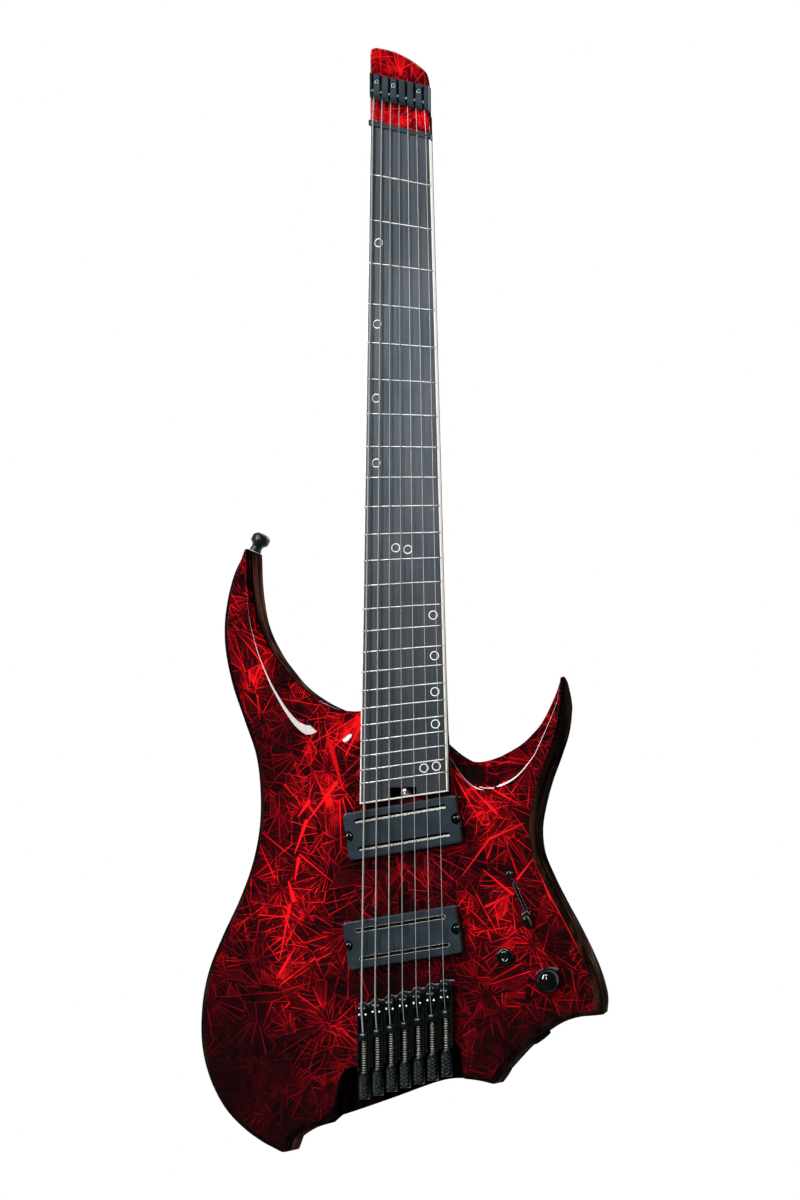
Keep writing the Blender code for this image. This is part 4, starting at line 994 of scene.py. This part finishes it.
def fret_shape(number):
    """Rounded fret wire laid over the crowned board, its ends sloped."""
    t = 1 - 2 ** (-number / 12)
    half = fan_half(t) - 0.15
    rings = []
    for k in range(31):
        u = k / 15 - 1
        end = 1.0 if abs(u) < 0.99 else 0.5
        ring = []
        for j in range(9):
            angle = math.pi * j / 8
            x, z = fan(along_offset(t, -0.8 * math.cos(angle) * end), u, half)
            ring.append((x, -(crown(x) - 0.2 + 1.2 * math.sin(angle) * end), z))
        rings.append(ring)
    return loft(rings)


def ring_inlay(x, z, radius=3.4, line=0.62):
    """Flat ring let into the board, a hair proud of it."""
    points = [(x + r * c, -(crown(x + r * c) + lift), z + r * s) for c, s in circle(40)
              for r, lift in ((radius, -0.3), (radius, 0.04), (radius - line, 0.04),
                              (radius - line, -0.3))]
    faces = []
    for base in range(0, len(points), 4):
        following = (base + 4) % len(points)
        faces += [[base + j, base + (j + 1) % 4, following + (j + 1) % 4, following + j]
                  for j in range(4)]
    return points, faces


def binding_shape():
    """Strip with a softened outer corner round the sides and the end."""
    inner_end = along_offset(BOARD_END, -BINDING)
    outer = [fan(0.0, -1), *across_fan(BOARD_END), fan(0.0, 1)]
    half = fan_half(0) - BINDING
    inner = [fan(0.0, -1, half), *across_fan(inner_end, fan_half(inner_end) - BINDING),
             fan(0.0, 1, half)]
    rings = []
    for (ox, oz), (ix, iz) in zip(outer, inner):
        nx = ox + (ix - ox) * 0.2
        nz = oz + (iz - oz) * 0.2
        rings.append([(ox, -BOARD_BACK, oz), (ox, -(crown(ox) - 0.35), oz), (nx, -crown(nx), nz),
                      (ix, -crown(ix), iz), (ix, -BOARD_BACK, iz)])
    return loft(rings)


def nut_shape():
    rings = []
    for shift, lift in ((-NUT_LENGTH, 0.1), (-NUT_LENGTH + 0.4, 0.5), (-2.4, 0.75), (-0.7, 0.6),
                        (-0.3, 0.2)):
        t = along_offset(0.0, shift)
        ring = layer([fan(t, 1, NUT_END), fan(t, -1, NUT_END)], BOARD_BACK)
        ring += [(x, -(crown(x, NUT_TOP) + lift - (0.5 if k in (0, BOARD_STEPS) else 0.0)), z)
                 for k, (x, z) in enumerate(across_fan(t, NUT_END))]
        rings.append(ring)
    return loft(rings)


def build_board():
    end = along_offset(BOARD_END, -BINDING - 0.05)
    piece("board_slab", loft([board_ring(end * k / 12) for k in range(13)]), "board",
          instead_of=("fretboard",), cuts=[wheel_recess(30.0)])
    piece("frets", group(fret_shape(n) for n in range(1, FRETS + 1)), "nickel",
          sharp=50.0)
    piece("ring_inlays", group(ring_inlay(*p) for p in INLAYS), "inlay")
    piece("edge_binding", binding_shape(), "cream",
          instead_of=("fretboard_binding",), cuts=[wheel_recess(30.0, 45.5)])
    piece("nut_bar", nut_shape(), "slate_dark", instead_of=("nut",),
          sharp=40.0)


# Screws

def socket_head(centre, axis, radius, height, key, name, hexagon):
    """Round screw head with a hexagon socket, its foot at centre."""
    soft = radius * 0.16
    profile = [(radius, 0.0), (radius, height - soft), (radius - soft * 0.4, height - soft * 0.3),
               (radius - soft, height), (radius * hexagon + 0.02, height)]
    well = turned([(radius * hexagon, height * 0.35), (radius * hexagon, height + 1.0)],
                  centre, axis, 6)
    return carve(make(name, turned(profile, centre, axis, 32), key), [well])


def screw_set(name, places, radius, height, key, axis=FORWARD, hexagon=0.5):
    """Several socket screws as one piece; places are the centres of their feet."""
    first = socket_head(places[0], axis, radius, height, key, name + "_first", hexagon)
    form = bmesh.new()
    for centre in places:
        mesh = first.data.copy()
        if centre != places[0]:
            mesh.transform(Matrix.Translation(Vector(centre) * MM)
                           @ Matrix.Translation(-Vector(places[0]) * MM))
        form.from_mesh(mesh)
        bpy.data.meshes.remove(mesh)
    mesh = bpy.data.meshes.new(name)
    form.to_mesh(mesh)
    form.free()
    mesh.materials.append(finish[key])
    bpy.data.objects.remove(first)
    place(linked(name, smooth(mesh)))


# Head clamp

def clamp_point(x, along):
    """Point of the clamp by its x and the distance from its fanned lower edge."""
    return x, NUT_HEIGHT - NUT_SLOPE * x + CLAMP_START + along


def pad_shape(left, right, first, last):
    """One pad of the clamp: string tunnels under its sides, lower end sloped."""
    rings = []
    for depth, gap, shrink, slope in ((CLAMP_BACK, 1.2, 0.0, 0.0), (51.8, 1.2, 0.0, 0.0),
                                      (52.1, 0.5, 0.0, 0.0), (54.5, 0.5, 0.2, 1.9),
                                      (55.0, 0.5, 0.7, 2.7)):
        a = left + (shrink if first else gap + shrink)
        b = right - (shrink if last else gap + shrink)
        rings.append(layer([clamp_point(a, slope), clamp_point(b, slope),
                            clamp_point(b, CLAMP_LENGTH - shrink),
                            clamp_point(a, CLAMP_LENGTH - shrink)], depth))
    return loft(rings)


def build_clamp():
    edges = [CLAMP_LEFT] + [string_x(k, CLAMP_SPREAD) for k in range(STRINGS)] + [CLAMP_RIGHT]
    pads = [pad_shape(edges[k], edges[k + 1], k == 0, k == STRINGS)
            for k in range(STRINGS + 1)]
    fixing = [clamp_point((edges[pad] + edges[pad + 1]) / 2, 13.2) for pad in (1, 3, 6)]
    piece("clamp_pads", group(pads), "slate_dark",
          instead_of=("head_clamp_block",), cuts=[bar(2.35, 52.6, FAR, *p, 32) for p in fixing])
    floor = [clamp_point(CLAMP_LEFT, 0.4), clamp_point(CLAMP_RIGHT, 0.4),
             clamp_point(CLAMP_RIGHT, 19.1), clamp_point(CLAMP_LEFT, 19.1)]
    piece("clamp_floor", plate(floor, CLAMP_BACK, 49.5), "black")
    screw_set("clamp_fixing_screws", layer(fixing, 52.7), 2.1, 1.9, "steel_dark", hexagon=0.6)
    small = [clamp_point(x, 5.6) for x in edges[1:-1]]
    nuts = [turned([(1.35, 51.9), (1.35, 54.0), (1.2, 54.15), (0.9, 54.15)], (x, 0, z),
                   sides=24) for x, z in small]
    piece("clamp_nuts", group(nuts), "black")
    screw_set("clamp_string_screws", layer(small, 54.0), 0.95, 0.6, "steel_dark",
              hexagon=0.6)


# Pickups

def blade_slots(centre, back, front, width, long, shift=0.0):
    """A pair of narrow plates along the pickup, for its slots and blades."""
    return [plate(round_rectangle(tilted(centre, 0, side * SLOT_PITCH / 2 + shift, PICKUP_TILT),
                                  (long, width), width / 2 - 0.02, PICKUP_TILT), back, front)
            for side in (-1, 1)]


def build_pickup(name):
    centre = PICKUP_CENTRES[name]

    def loop_at(narrower):
        return round_rectangle(centre, (PICKUP_LENGTH - 2 * narrower, PICKUP_WIDTH - 2 * narrower),
                               max(3.0 - narrower, 0.8), PICKUP_TILT)

    def ends(margin):
        return [tilted(centre, side * (PICKUP_LENGTH / 2 - margin), 0, PICKUP_TILT)
                for side in (-1, 1)]
    slots = blade_slots(centre, 30.0, FAR, SLOT_WIDTH, SLOT_LENGTH)
    notches = [bar(4.4, 45.8, FAR, *p) for p in ends(1.6)]
    piece(name + "_cover", rounded_plate(loop_at, 26.0, PICKUP_TOP, 1.5, 5), "slate",
          instead_of=(name + "_pickup_cover",), sharp=40.0, weighted=True,
          cuts=[pickup_plate(name, -4.4, 1.5, 0.0, PICKUP_TOP - 3.2, 2),
                slots[0], notches[0], slots[1], notches[1]])
    piece(name + "_coil_block", pickup_plate(name, -5.2, 1.2, 27.0, PICKUP_TOP - 3.6), "dark",
          instead_of=(name + "_pickup_coils",))
    split_blades = name == "bridge"
    width, shift = (3.3, 0.0) if split_blades else (1.5, -0.7)
    piece(name + "_blades", group(blade_slots(centre, 40.0, PICKUP_TOP - 0.9, width,
                                              SLOT_LENGTH - 1.0, shift)), "steel",
          cuts=blade_slots(centre, 44.0, FAR, 2.3, SLOT_LENGTH - 2.0)
          if split_blades else ())
    if split_blades:
        piece("bridge_blade_cores", group(blade_slots(centre, 43.8, PICKUP_TOP - 1.6, 2.2,
                                                      SLOT_LENGTH - 2.1)), "dark")
    screw_set(name + "_pickup_screws", layer(ends(2.4), 46.0), 2.5, 1.9, "dome")


# Bridge units

def base_shape(x, front):
    def loop_at(narrower):
        half = UNIT_HALF - narrower
        foot = front - UNIT_LENGTH + narrower
        return half_circle(x, front - UNIT_HALF, half, 18) + [(x - half, foot), (x + half, foot)]
    return rounded_plate(loop_at, 40.3, UNIT_TOP, 0.7, 3)


def half_circle(x, z, radius, count):
    return [(x + radius * math.cos(a), z + radius * math.sin(a))
            for a in (math.pi * k / count for k in range(count + 1))]


def build_base(number, x, front):
    """Channel with soft edges, a round seat at its rear for the rod and a front screw lug."""
    piece("unit_channel_%d" % number, base_shape(x, front), "black",
          instead_of=("bridge_base_%d" % number,), sharp=40.0, weighted=True,
          cuts=[box(x - 3.6, x + 3.6, UNIT_FLOOR, FAR, front - 49.2, front - 6.5),
                bar(3.5, 46.6, FAR, x, front - UNIT_SCREW, 40),
                bar(3.95, 46.9, FAR, x, front - 44.2, 40),
                turned([(2.4, -10.0), (2.4, 10.0)], (x, -ROD_AXIS, front - UNIT_LENGTH),
                       (0, 0, 1), 24),
                box(x - 2.5, x + 2.5, UNIT_FLOOR, FAR, front - 52.5, front - 48.0)])


def saddle_shape(x, ridge):
    """Saddle with a rounded ridge and chamfered sides."""
    side = [(2.4, SADDLE_FOOT), (2.4, ridge - 1.6), (1.9, ridge - 0.9), (1.2, ridge - 0.3),
            (0.4, ridge), (-0.6, ridge - 0.05), (-1.6, ridge - 0.6), (-4.4, ridge - 2.6),
            (-8.0, ridge - 3.8), (-8.0, SADDLE_FOOT)]
    return loft([[(x + across, -(max(depth - drop, SADDLE_FOOT)), BRIDGE_SLOPE * x + along)
                  for along, depth in side]
                 for across, drop in ((-3.2, 0.5), (-2.9, 0.15), (-2.4, 0.0), (2.4, 0.0),
                                      (2.9, 0.15), (3.2, 0.5))])


def thread_ribs(x, start, end, radius, pitch):
    """Separate rounded rings along -Z, the crests of a coarse thread."""
    return group(turned([(radius * share, start + (k + 0.2 + turn) * pitch)
                         for share, turn in ((0.6, 0.0), (0.93, 0.14), (1.0, 0.24), (1.0, 0.36),
                                             (0.93, 0.46), (0.6, 0.6))],
                        (x, -ROD_AXIS, 0), (0, 0, -1), 20)
                 for k in range(int((end - start) / pitch)))


def build_puller(number, x, front):
    body = "puller_%d" % number

    def ring(z, half, back, top, soft):
        middle = (back + top) / 2
        return [(x + px, -(middle + py), z)
                for px, py in corner_points(half - soft, (top - back) / 2 - soft, soft, 4)]
    block = loft([ring(front - PULLER_FRONT, 2.9, 43.9, 49.7, 0.8),
                  ring(front - PULLER_FRONT - 0.3, 3.2, SADDLE_FOOT, 50.0, 0.9),
                  ring(front - PULLER_REAR + 0.3, 3.2, SADDLE_FOOT, 50.0, 0.9),
                  ring(front - PULLER_REAR, 2.9, 43.9, 49.7, 0.8)])
    piece("carrier_%d" % number, block, "black", body, (body,))
    start, end = PULLER_REAR - front - 0.2, ROD_REAR - front
    piece("rod_core_%d" % number,
          turned([(1.25, start), (1.25, end)], (x, -ROD_AXIS, 0), (0, 0, -1), 20),
          "steel_dark", body)
    piece("thread_%d" % number, thread_ribs(x, start, end, 1.85, 1.75), "thread",
          body)
    ball = [(0.5, -1.7), (1.6, -1.6), (1.9, -1.3), (1.9, 1.3), (1.6, 1.6), (0.5, 1.7)]
    piece("ball_end_%d" % number,
          turned(ball, (x, -49.5, front - PULLER_FRONT - 1.9), (1, 0, 0), 24),
          "steel_dark", body)


def build_knob(number, x, front):
    """Tuner knob whose middle has crossed V grooves, its axis along -Z."""
    start, end = KNOB_FRONT + 3.0, KNOB_REAR - 1.0
    pitch = 2 * math.pi * KNURL_RADIUS / KNURL_TEETH

    def ring(radii, height):
        return [(x + r * c, -(ROD_AXIS - r * s), front - height)
                for r, (c, s) in zip(radii, circle(KNURL_AROUND))]

    def plain_rings(*steps):
        return [ring([radius] * KNURL_AROUND, height) for radius, height in steps]

    def groove(turn):
        return 1.0 - min(1.0, 3.0 * abs(turn - round(turn)))
    rings = plain_rings((2.3, 69.2), (2.3, KNOB_FRONT), (3.1, KNOB_FRONT),
                        (3.3, KNOB_FRONT + 0.3), (3.3, KNOB_FRONT + 1.9),
                        (4.0, KNOB_FRONT + 2.2), (4.3, KNOB_FRONT + 2.7))
    turns = [KNURL_TEETH * k / KNURL_AROUND for k in range(KNURL_AROUND)]
    for j in range(KNURL_ALONG + 1):
        height = start + (end - start) * j / KNURL_ALONG
        v = (height - start) / pitch
        deep = [max(groove((u + v) / 2), groove((u - v) / 2)) for u in turns]
        rings.append(ring([KNURL_RADIUS - KNURL_DEPTH * d for d in deep], height))
    rings += plain_rings((4.25, KNOB_REAR - 0.8), (4.1, KNOB_REAR - 0.35), (3.6, KNOB_REAR))
    name = "tuner_knob_%d" % number
    piece("knurled_knob_%d" % number, loft(rings), "knurl", name, (name,), 50.0)


def build_bridge():
    mounting = []
    rings = []
    rims = []
    height_screws = []
    seat = [(2.6, 46.9), (2.6, 48.2), (2.75, 48.7), (3.05, 48.9), (3.3, 48.7), (3.42, 48.2),
            (3.42, 46.7)]
    for index, diameter in enumerate(STRING_DIAMETERS):
        number = index + 1
        x = string_x(index, BRIDGE_SPREAD)
        front = unit_front(index)
        ridge = STRING_AT_SADDLE - diameter / 2
        build_base(number, x, front)
        piece("saddle_block_%d" % number, saddle_shape(x, ridge - 0.1), "black",
              instead_of=("saddle_%d" % number,), sharp=40.0)
        build_puller(number, x, front)
        build_knob(number, x, front)
        mounting.append((x, -46.8, front - UNIT_SCREW))
        rings.append(turned(seat, (x, 0, front - UNIT_SCREW), sides=40))
        rims.append(tube([Vector((px, 0.2 - UNIT_TOP, pz)) for px, pz in
                          half_circle(x, front - UNIT_HALF, UNIT_HALF - 0.2, 24)[1:-1]],
                         0.26, 8))
        height_screws += [(x + side * 2.45, 3.2 - ridge, BRIDGE_SLOPE * x - 4.6)
                          for side in (-1, 1)]
    screw_set("unit_mounting_screws", mounting, 2.45, 1.9, "gloss")
    piece("unit_seat_rings", group(rings), "steel_dark")
    piece("unit_rims", group(rims), "steel_dark", sharp=60.0)
    screw_set("saddle_height_screws", height_screws, 0.72, 1.6, "nickel",
              (0, -1, 0.45))


def unit_front(index):
    return UNIT_FIRST_FRONT + UNIT_STEP * index


# Strings

def eased_route(corners, bend):
    """Straight runs joined by short arcs of length bend."""
    route = [corners[0]]
    for before, corner, after in zip(corners, corners[1:], corners[2:]):
        first = corner + (before - corner).normalized() * bend
        last = corner + (after - corner).normalized() * bend
        route += [first * (1 - s) ** 2 + corner * (2 * s * (1 - s)) + last * s ** 2
                  for s in (k / 4 for k in range(5))]
    return route + [corners[-1]]


def build_string(index):
    number = index + 1
    radius = STRING_DIAMETERS[index] / 2
    clamp_x = string_x(index, CLAMP_SPREAD)
    nut_x = string_x(index, NUT_SPREAD)
    bridge_x = string_x(index, BRIDGE_SPREAD)
    corners = [Vector(p) for p in (
        *layer([clamp_point(clamp_x, 13.0), clamp_point(clamp_x, 0.0)], 49.9 + radius),
        (nut_x, -(crown(nut_x, NUT_TOP) + 0.3 + radius),
         NUT_HEIGHT - NUT_SLOPE * nut_x + NUT_LENGTH / 2),
        (bridge_x, -STRING_AT_SADDLE, BRIDGE_SLOPE * bridge_x),
        (bridge_x, -49.4, unit_front(index) - PULLER_FRONT + 0.4))]
    wire = make("wire_%d" % number, tube(eased_route(corners, 1.2), radius),
                "wound_wire" if index < 4 else "plain_wire", 60.0)
    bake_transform(wire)
    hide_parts("string_%d" % number)


# Controls

def build_switch():
    screw_set("switch_screw", layer([switch_point(-20.6)], 40.0), 2.7, 1.3, "gloss")
    pivot = Vector((SWITCH_CENTRE[0], -16.0, SWITCH_CENTRE[1]))
    lean = math.radians(26.0)
    along = Vector((math.sin(SWITCH_LEAN), 0, -math.cos(SWITCH_LEAN)))
    across = Vector((math.cos(SWITCH_LEAN), 0, math.sin(SWITCH_LEAN)))
    arm = Vector((0, -1, 0)) * math.cos(lean) + along * math.sin(lean)
    wide = along * math.cos(lean) + Vector((0, 1, 0)) * math.sin(lean)

    def ring(height, half_across, half_wide, corners):
        return [tuple(pivot + arm * height + across * half_across * c + wide * half_wide * s)
                for c, s in corners]
    tip = [ring(*s, circle(32)) for s in (
        (31.0, 2.2, 4.0), (31.3, 2.8, 4.9), (32.4, 3.4, 5.8), (34.5, 3.6, 6.1), (38.5, 3.7, 6.25),
        (41.0, 3.5, 6.0), (42.6, 3.0, 5.3), (43.6, 2.2, 4.2), (44.2, 1.2, 2.6))]
    piece("switch_tip", loft(tip), "dome", "switch_lever", ("switch_lever",),
          50.0)
    square = ((1, 1), (-1, 1), (-1, -1), (1, -1))
    piece("switch_blade", loft([ring(h, 0.6, 1.8, square) for h in (-3.0, 31.4)]),
          "steel_dark", "switch_lever")
    piece("switch_frame", switch_slot(46.0, 12.0, 31.4, 33.6), "dark",
          instead_of=("switch_body",), cuts=[switch_slot(31.4, 2.8, 20.0, FAR)])
    piece("switch_rails", switch_slot(30.6, 2.7, 33.0, 38.0), "steel_dark",
          cuts=[switch_slot(29.2, 1.5, 30.0, FAR)])


def build_controls():
    centre = (BUTTON_CENTRE[0], 0, BUTTON_CENTRE[1])
    bezel = [(4.6, 22.0), (4.6, 42.3), (4.75, 42.9), (5.1, 43.2), (5.5, 43.15), (6.1, 42.7),
             (6.45, 41.9), (6.5, 40.3), (5.5, 40.3), (5.5, 18.0)]
    piece("button_bezel", turned(bezel, centre), "gloss",
          instead_of=("push_switch",))
    cap = [(4.2, 26.0), (4.2, 42.6), (4.0, 43.0), (3.6, 43.15), (3.2, 42.9), (2.4, 42.75),
           (0.4, 42.7)]
    piece("button_cap", turned(cap, centre), "gloss", "push_button",
          ("push_button",))
    dome = [(2.5, -12.5), (2.5, 0.0), (9.1, 0.0), (9.5, 0.3), (9.7, 1.2), (9.7, 5.0)]
    dome += [(9.7 * math.cos(a), 5.5 + 8.6 * math.sin(a))
             for a in (math.pi / 2 * k / 16 for k in range(16))]
    foot = (VOLUME_CENTRE[0], -40.5, VOLUME_CENTRE[1])
    piece("volume_dome", turned(dome + [(0.3, 14.08)], foot, sides=64), "dome",
          "volume_knob", ("volume_knob",), 50.0)


def build_fittings():
    """Strap buttons, jack and the truss rod's spoke wheel with its holes for a bar."""
    pin = [(5.0, 0.3), (4.95, 1.0), (4.6, 2.4), (4.3, 3.9), (4.5, 5.2), (5.6, 6.4), (6.8, 7.4),
           (7.3, 8.3), (7.4, 9.4), (7.4, 11.4), (7.25, 12.6), (6.8, 13.5), (6.0, 14.3),
           (5.0, 14.8), (3.6, 15.15), (2.2, 15.3)]
    for name, (centre, axis) in (("upper", STRAP_UPPER), ("lower", STRAP_LOWER)):
        piece("strap_pin_" + name, turned(pin, centre, axis), "satin",
              instead_of=("strap_button_" + name,))
    jack = [(3.2, -26.0), (3.2, 2.6), (3.5, 3.0), (6.8, 3.0), (7.3, 2.8), (7.6, 2.3),
            (7.6, 0.9), (5.8, 0.9), (5.8, -28.0)]
    piece("jack_socket", turned(jack, JACK_CENTRE, JACK_OUT), "dark",
          instead_of=("output_jack",))
    centre = Vector((0.0, -39.4, fan(BOARD_END, 0)[1] + 1.6))
    drum = [(4.2, 0.0), (4.5, 0.2), (4.6, 0.5), (4.6, 5.3), (4.5, 5.6), (4.2, 5.8), (1.8, 5.8),
            (1.8, 6.4)]
    holes = [turned([(0.95, 2.4), (0.95, 6.0)], centre + Vector((0, 0, 2.9)),
                    (math.cos(a), math.sin(a), 0.0), 16)
             for a in (math.pi * k / 3 + math.pi / 6 for k in range(6))]
    piece("spoke_wheel", turned(drum, centre, (0, 0, 1)), "steel",
          "truss_wheel", ("truss_wheel",), cuts=holes)


def build_back():
    """Screws of the control cover and the neck plate."""
    screw_set("cover_screws", layer(COVER_SCREWS, 0.0), 1.9, 0.7, "black", axis=(0, 1, 0))
    bolts = [(-3.0 + sx * 16.5, 2.1, 174.0 + sz * 10.5) for sx in (-1, 1) for sz in (-1, 1)]
    screw_set("neck_bolts", bolts, 3.3, 1.0, "satin", axis=(0, 1, 0))


def dress_node(name, key, bevel=0.0):
    """Keep a CAD node and give it a finish, with softened edges if bevel is set."""
    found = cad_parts[name]
    found.data.materials.clear()
    found.data.materials.append(finish[key])
    if bevel:
        weld = found.modifiers.new("weld", "WELD")
        weld.merge_threshold = 0.00002
        soft = found.modifiers.new("soft", "BEVEL")
        soft.width = bevel * MM
        soft.segments = 2
        soft.limit_method = "ANGLE"
        soft.angle_limit = math.radians(40.0)


# Light, floor and camera

def build_camera():
    yaw, pitch, roll = (math.radians(a) for a in CAMERA_ANGLES)
    back = Vector((math.sin(yaw) * math.cos(pitch), -math.cos(yaw) * math.cos(pitch),
                   math.sin(pitch)))
    right = (-back).cross(Vector((0, 0, 1))).normalized()
    up = right.cross(-back)
    data = bpy.data.cameras.new("camera")
    data.lens = 90.0
    data.sensor_width = 36.0
    data.clip_end = 60.0
    matrix = Matrix.Translation(Vector(CAMERA_PLACE) * MM)
    for column, axis in enumerate((right * math.cos(roll) + up * math.sin(roll),
                                   up * math.cos(roll) - right * math.sin(roll), back)):
        for row in range(3):
            matrix[row][column] = axis[row]
    camera = linked("camera", data)
    camera.matrix_world = matrix
    bpy.context.scene.camera = camera


def area_light(name, azimuth, elevation, distance, size, power):
    """Area light aimed at the guitar; azimuth 0 is straight in front, positive to the treble."""
    a = math.radians(azimuth)
    e = math.radians(elevation)
    away = Vector((math.sin(a) * math.cos(e), -math.cos(a) * math.cos(e), math.sin(e)))
    data = bpy.data.lights.new(name, "AREA")
    data.shape = "RECTANGLE"
    data.size, data.size_y = size
    data.energy = power
    light = linked(name, data)
    light.location = Vector((0.0, -0.04, 0.25)) + away * distance
    light.rotation_euler = (-away).to_track_quat("-Z", "Y").to_euler()


def ray_kinds(tree):
    """Terms of 1 for camera rays and for mirror rays."""
    path = tree.nodes.new("ShaderNodeLightPath").outputs
    return Term(path["Is Camera Ray"]), larger(Term(path["Is Glossy Ray"]),
                                               Term(path["Is Transmission Ray"]))


def build_world():
    """White behind the guitar for camera and mirror rays; soft grey light elsewhere."""
    world = bpy.data.worlds.new("studio")
    bpy.context.scene.world = world
    world.use_nodes = True
    tree = world.node_tree
    background = tree.nodes["Background"].inputs
    camera_ray, mirrored = ray_kinds(tree)
    seen = larger(camera_ray, mirrored)
    behind = spread(split(coordinates(tree, "Generated"))[1], -0.35, 0.15)
    white = larger(camera_ray, seen * behind)
    dim = calc("SUBTRACT", seen, white, clamp=True) * 0.025
    background["Color"].default_value = (1.0, 1.0, 1.0, 1.0)
    put(background["Strength"], white + dim + (1.0 - seen) * 0.09)


def build_floor():
    """Pale floor that fades into the white; dark for mirror rays in front of the guitar."""
    made = bpy.data.materials.new("pale_floor")
    made.use_nodes = True
    tree = made.node_tree
    tree.nodes.clear()
    camera_ray, mirrored = ray_kinds(tree)
    position = coordinates(tree, "Object")
    behind = spread(split(position)[1], 0.0, 0.5)
    colour = mix_colour(mirrored * (1.0 - behind), (0.86, 0.86, 0.86), (0.04, 0.04, 0.04))
    seen = larger(camera_ray, mirrored * behind)
    glow = tree.nodes.new("ShaderNodeEmission")
    glow.inputs["Color"].default_value = (1.0, 1.0, 1.0, 1.0)
    surface = term("MixShader", {"Fac": spread(length(position), 0.7, 2.6) * seen,
                                 1: term("BsdfDiffuse", {"Color": colour}),
                                 2: Term(glow.outputs[0])})
    put(tree.nodes.new("ShaderNodeOutputMaterial").inputs["Surface"], surface)
    mesh = bpy.data.meshes.new("floor")
    mesh.from_pydata([(3.2 * c, 3.2 * s, 0.0) for c, s in circle(64)], [], [list(range(64))])
    mesh.materials.append(made)
    floor = linked("floor", mesh)
    floor.location = (0.0, 0.0, -0.62)


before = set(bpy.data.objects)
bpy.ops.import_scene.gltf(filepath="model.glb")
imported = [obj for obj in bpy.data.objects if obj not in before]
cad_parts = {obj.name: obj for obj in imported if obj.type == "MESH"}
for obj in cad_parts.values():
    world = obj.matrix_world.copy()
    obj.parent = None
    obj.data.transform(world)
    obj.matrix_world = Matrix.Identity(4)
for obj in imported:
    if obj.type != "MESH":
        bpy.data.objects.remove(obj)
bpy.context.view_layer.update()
build_camera()
build_world()
build_floor()
for light in (("right_strip", -4.0, 12.6, 2.4, (0.26, 0.90), 13.0),
              ("key", -33.0, 23.0, 2.4, (0.36, 1.5), 45.0),
              ("top_bar", -10.0, 39.0, 2.4, (0.8, 0.3), 14.0),
              ("back_left", 215.0, 30.0, 2.6, (1.2, 1.6), 40.0),
              ("back_right", 140.0, 25.0, 2.6, (1.0, 1.6), 30.0)):
    area_light(*light)

finish = finishes()
build_body()
build_neck()
build_board()
build_clamp()
for pickup in PICKUP_CENTRES:
    build_pickup(pickup)
build_bridge()
for string in range(STRINGS):
    build_string(string)
build_switch()
build_controls()
build_fittings()
build_back()
dress_node("neck_plate", "satin", 0.3)
dress_node("control_cover", "cover", 0.3)
dress_node("truss_rod", "steel")
dress_node("volume_pot", "steel")

bpy.context.scene.view_settings.view_transform = "Standard"
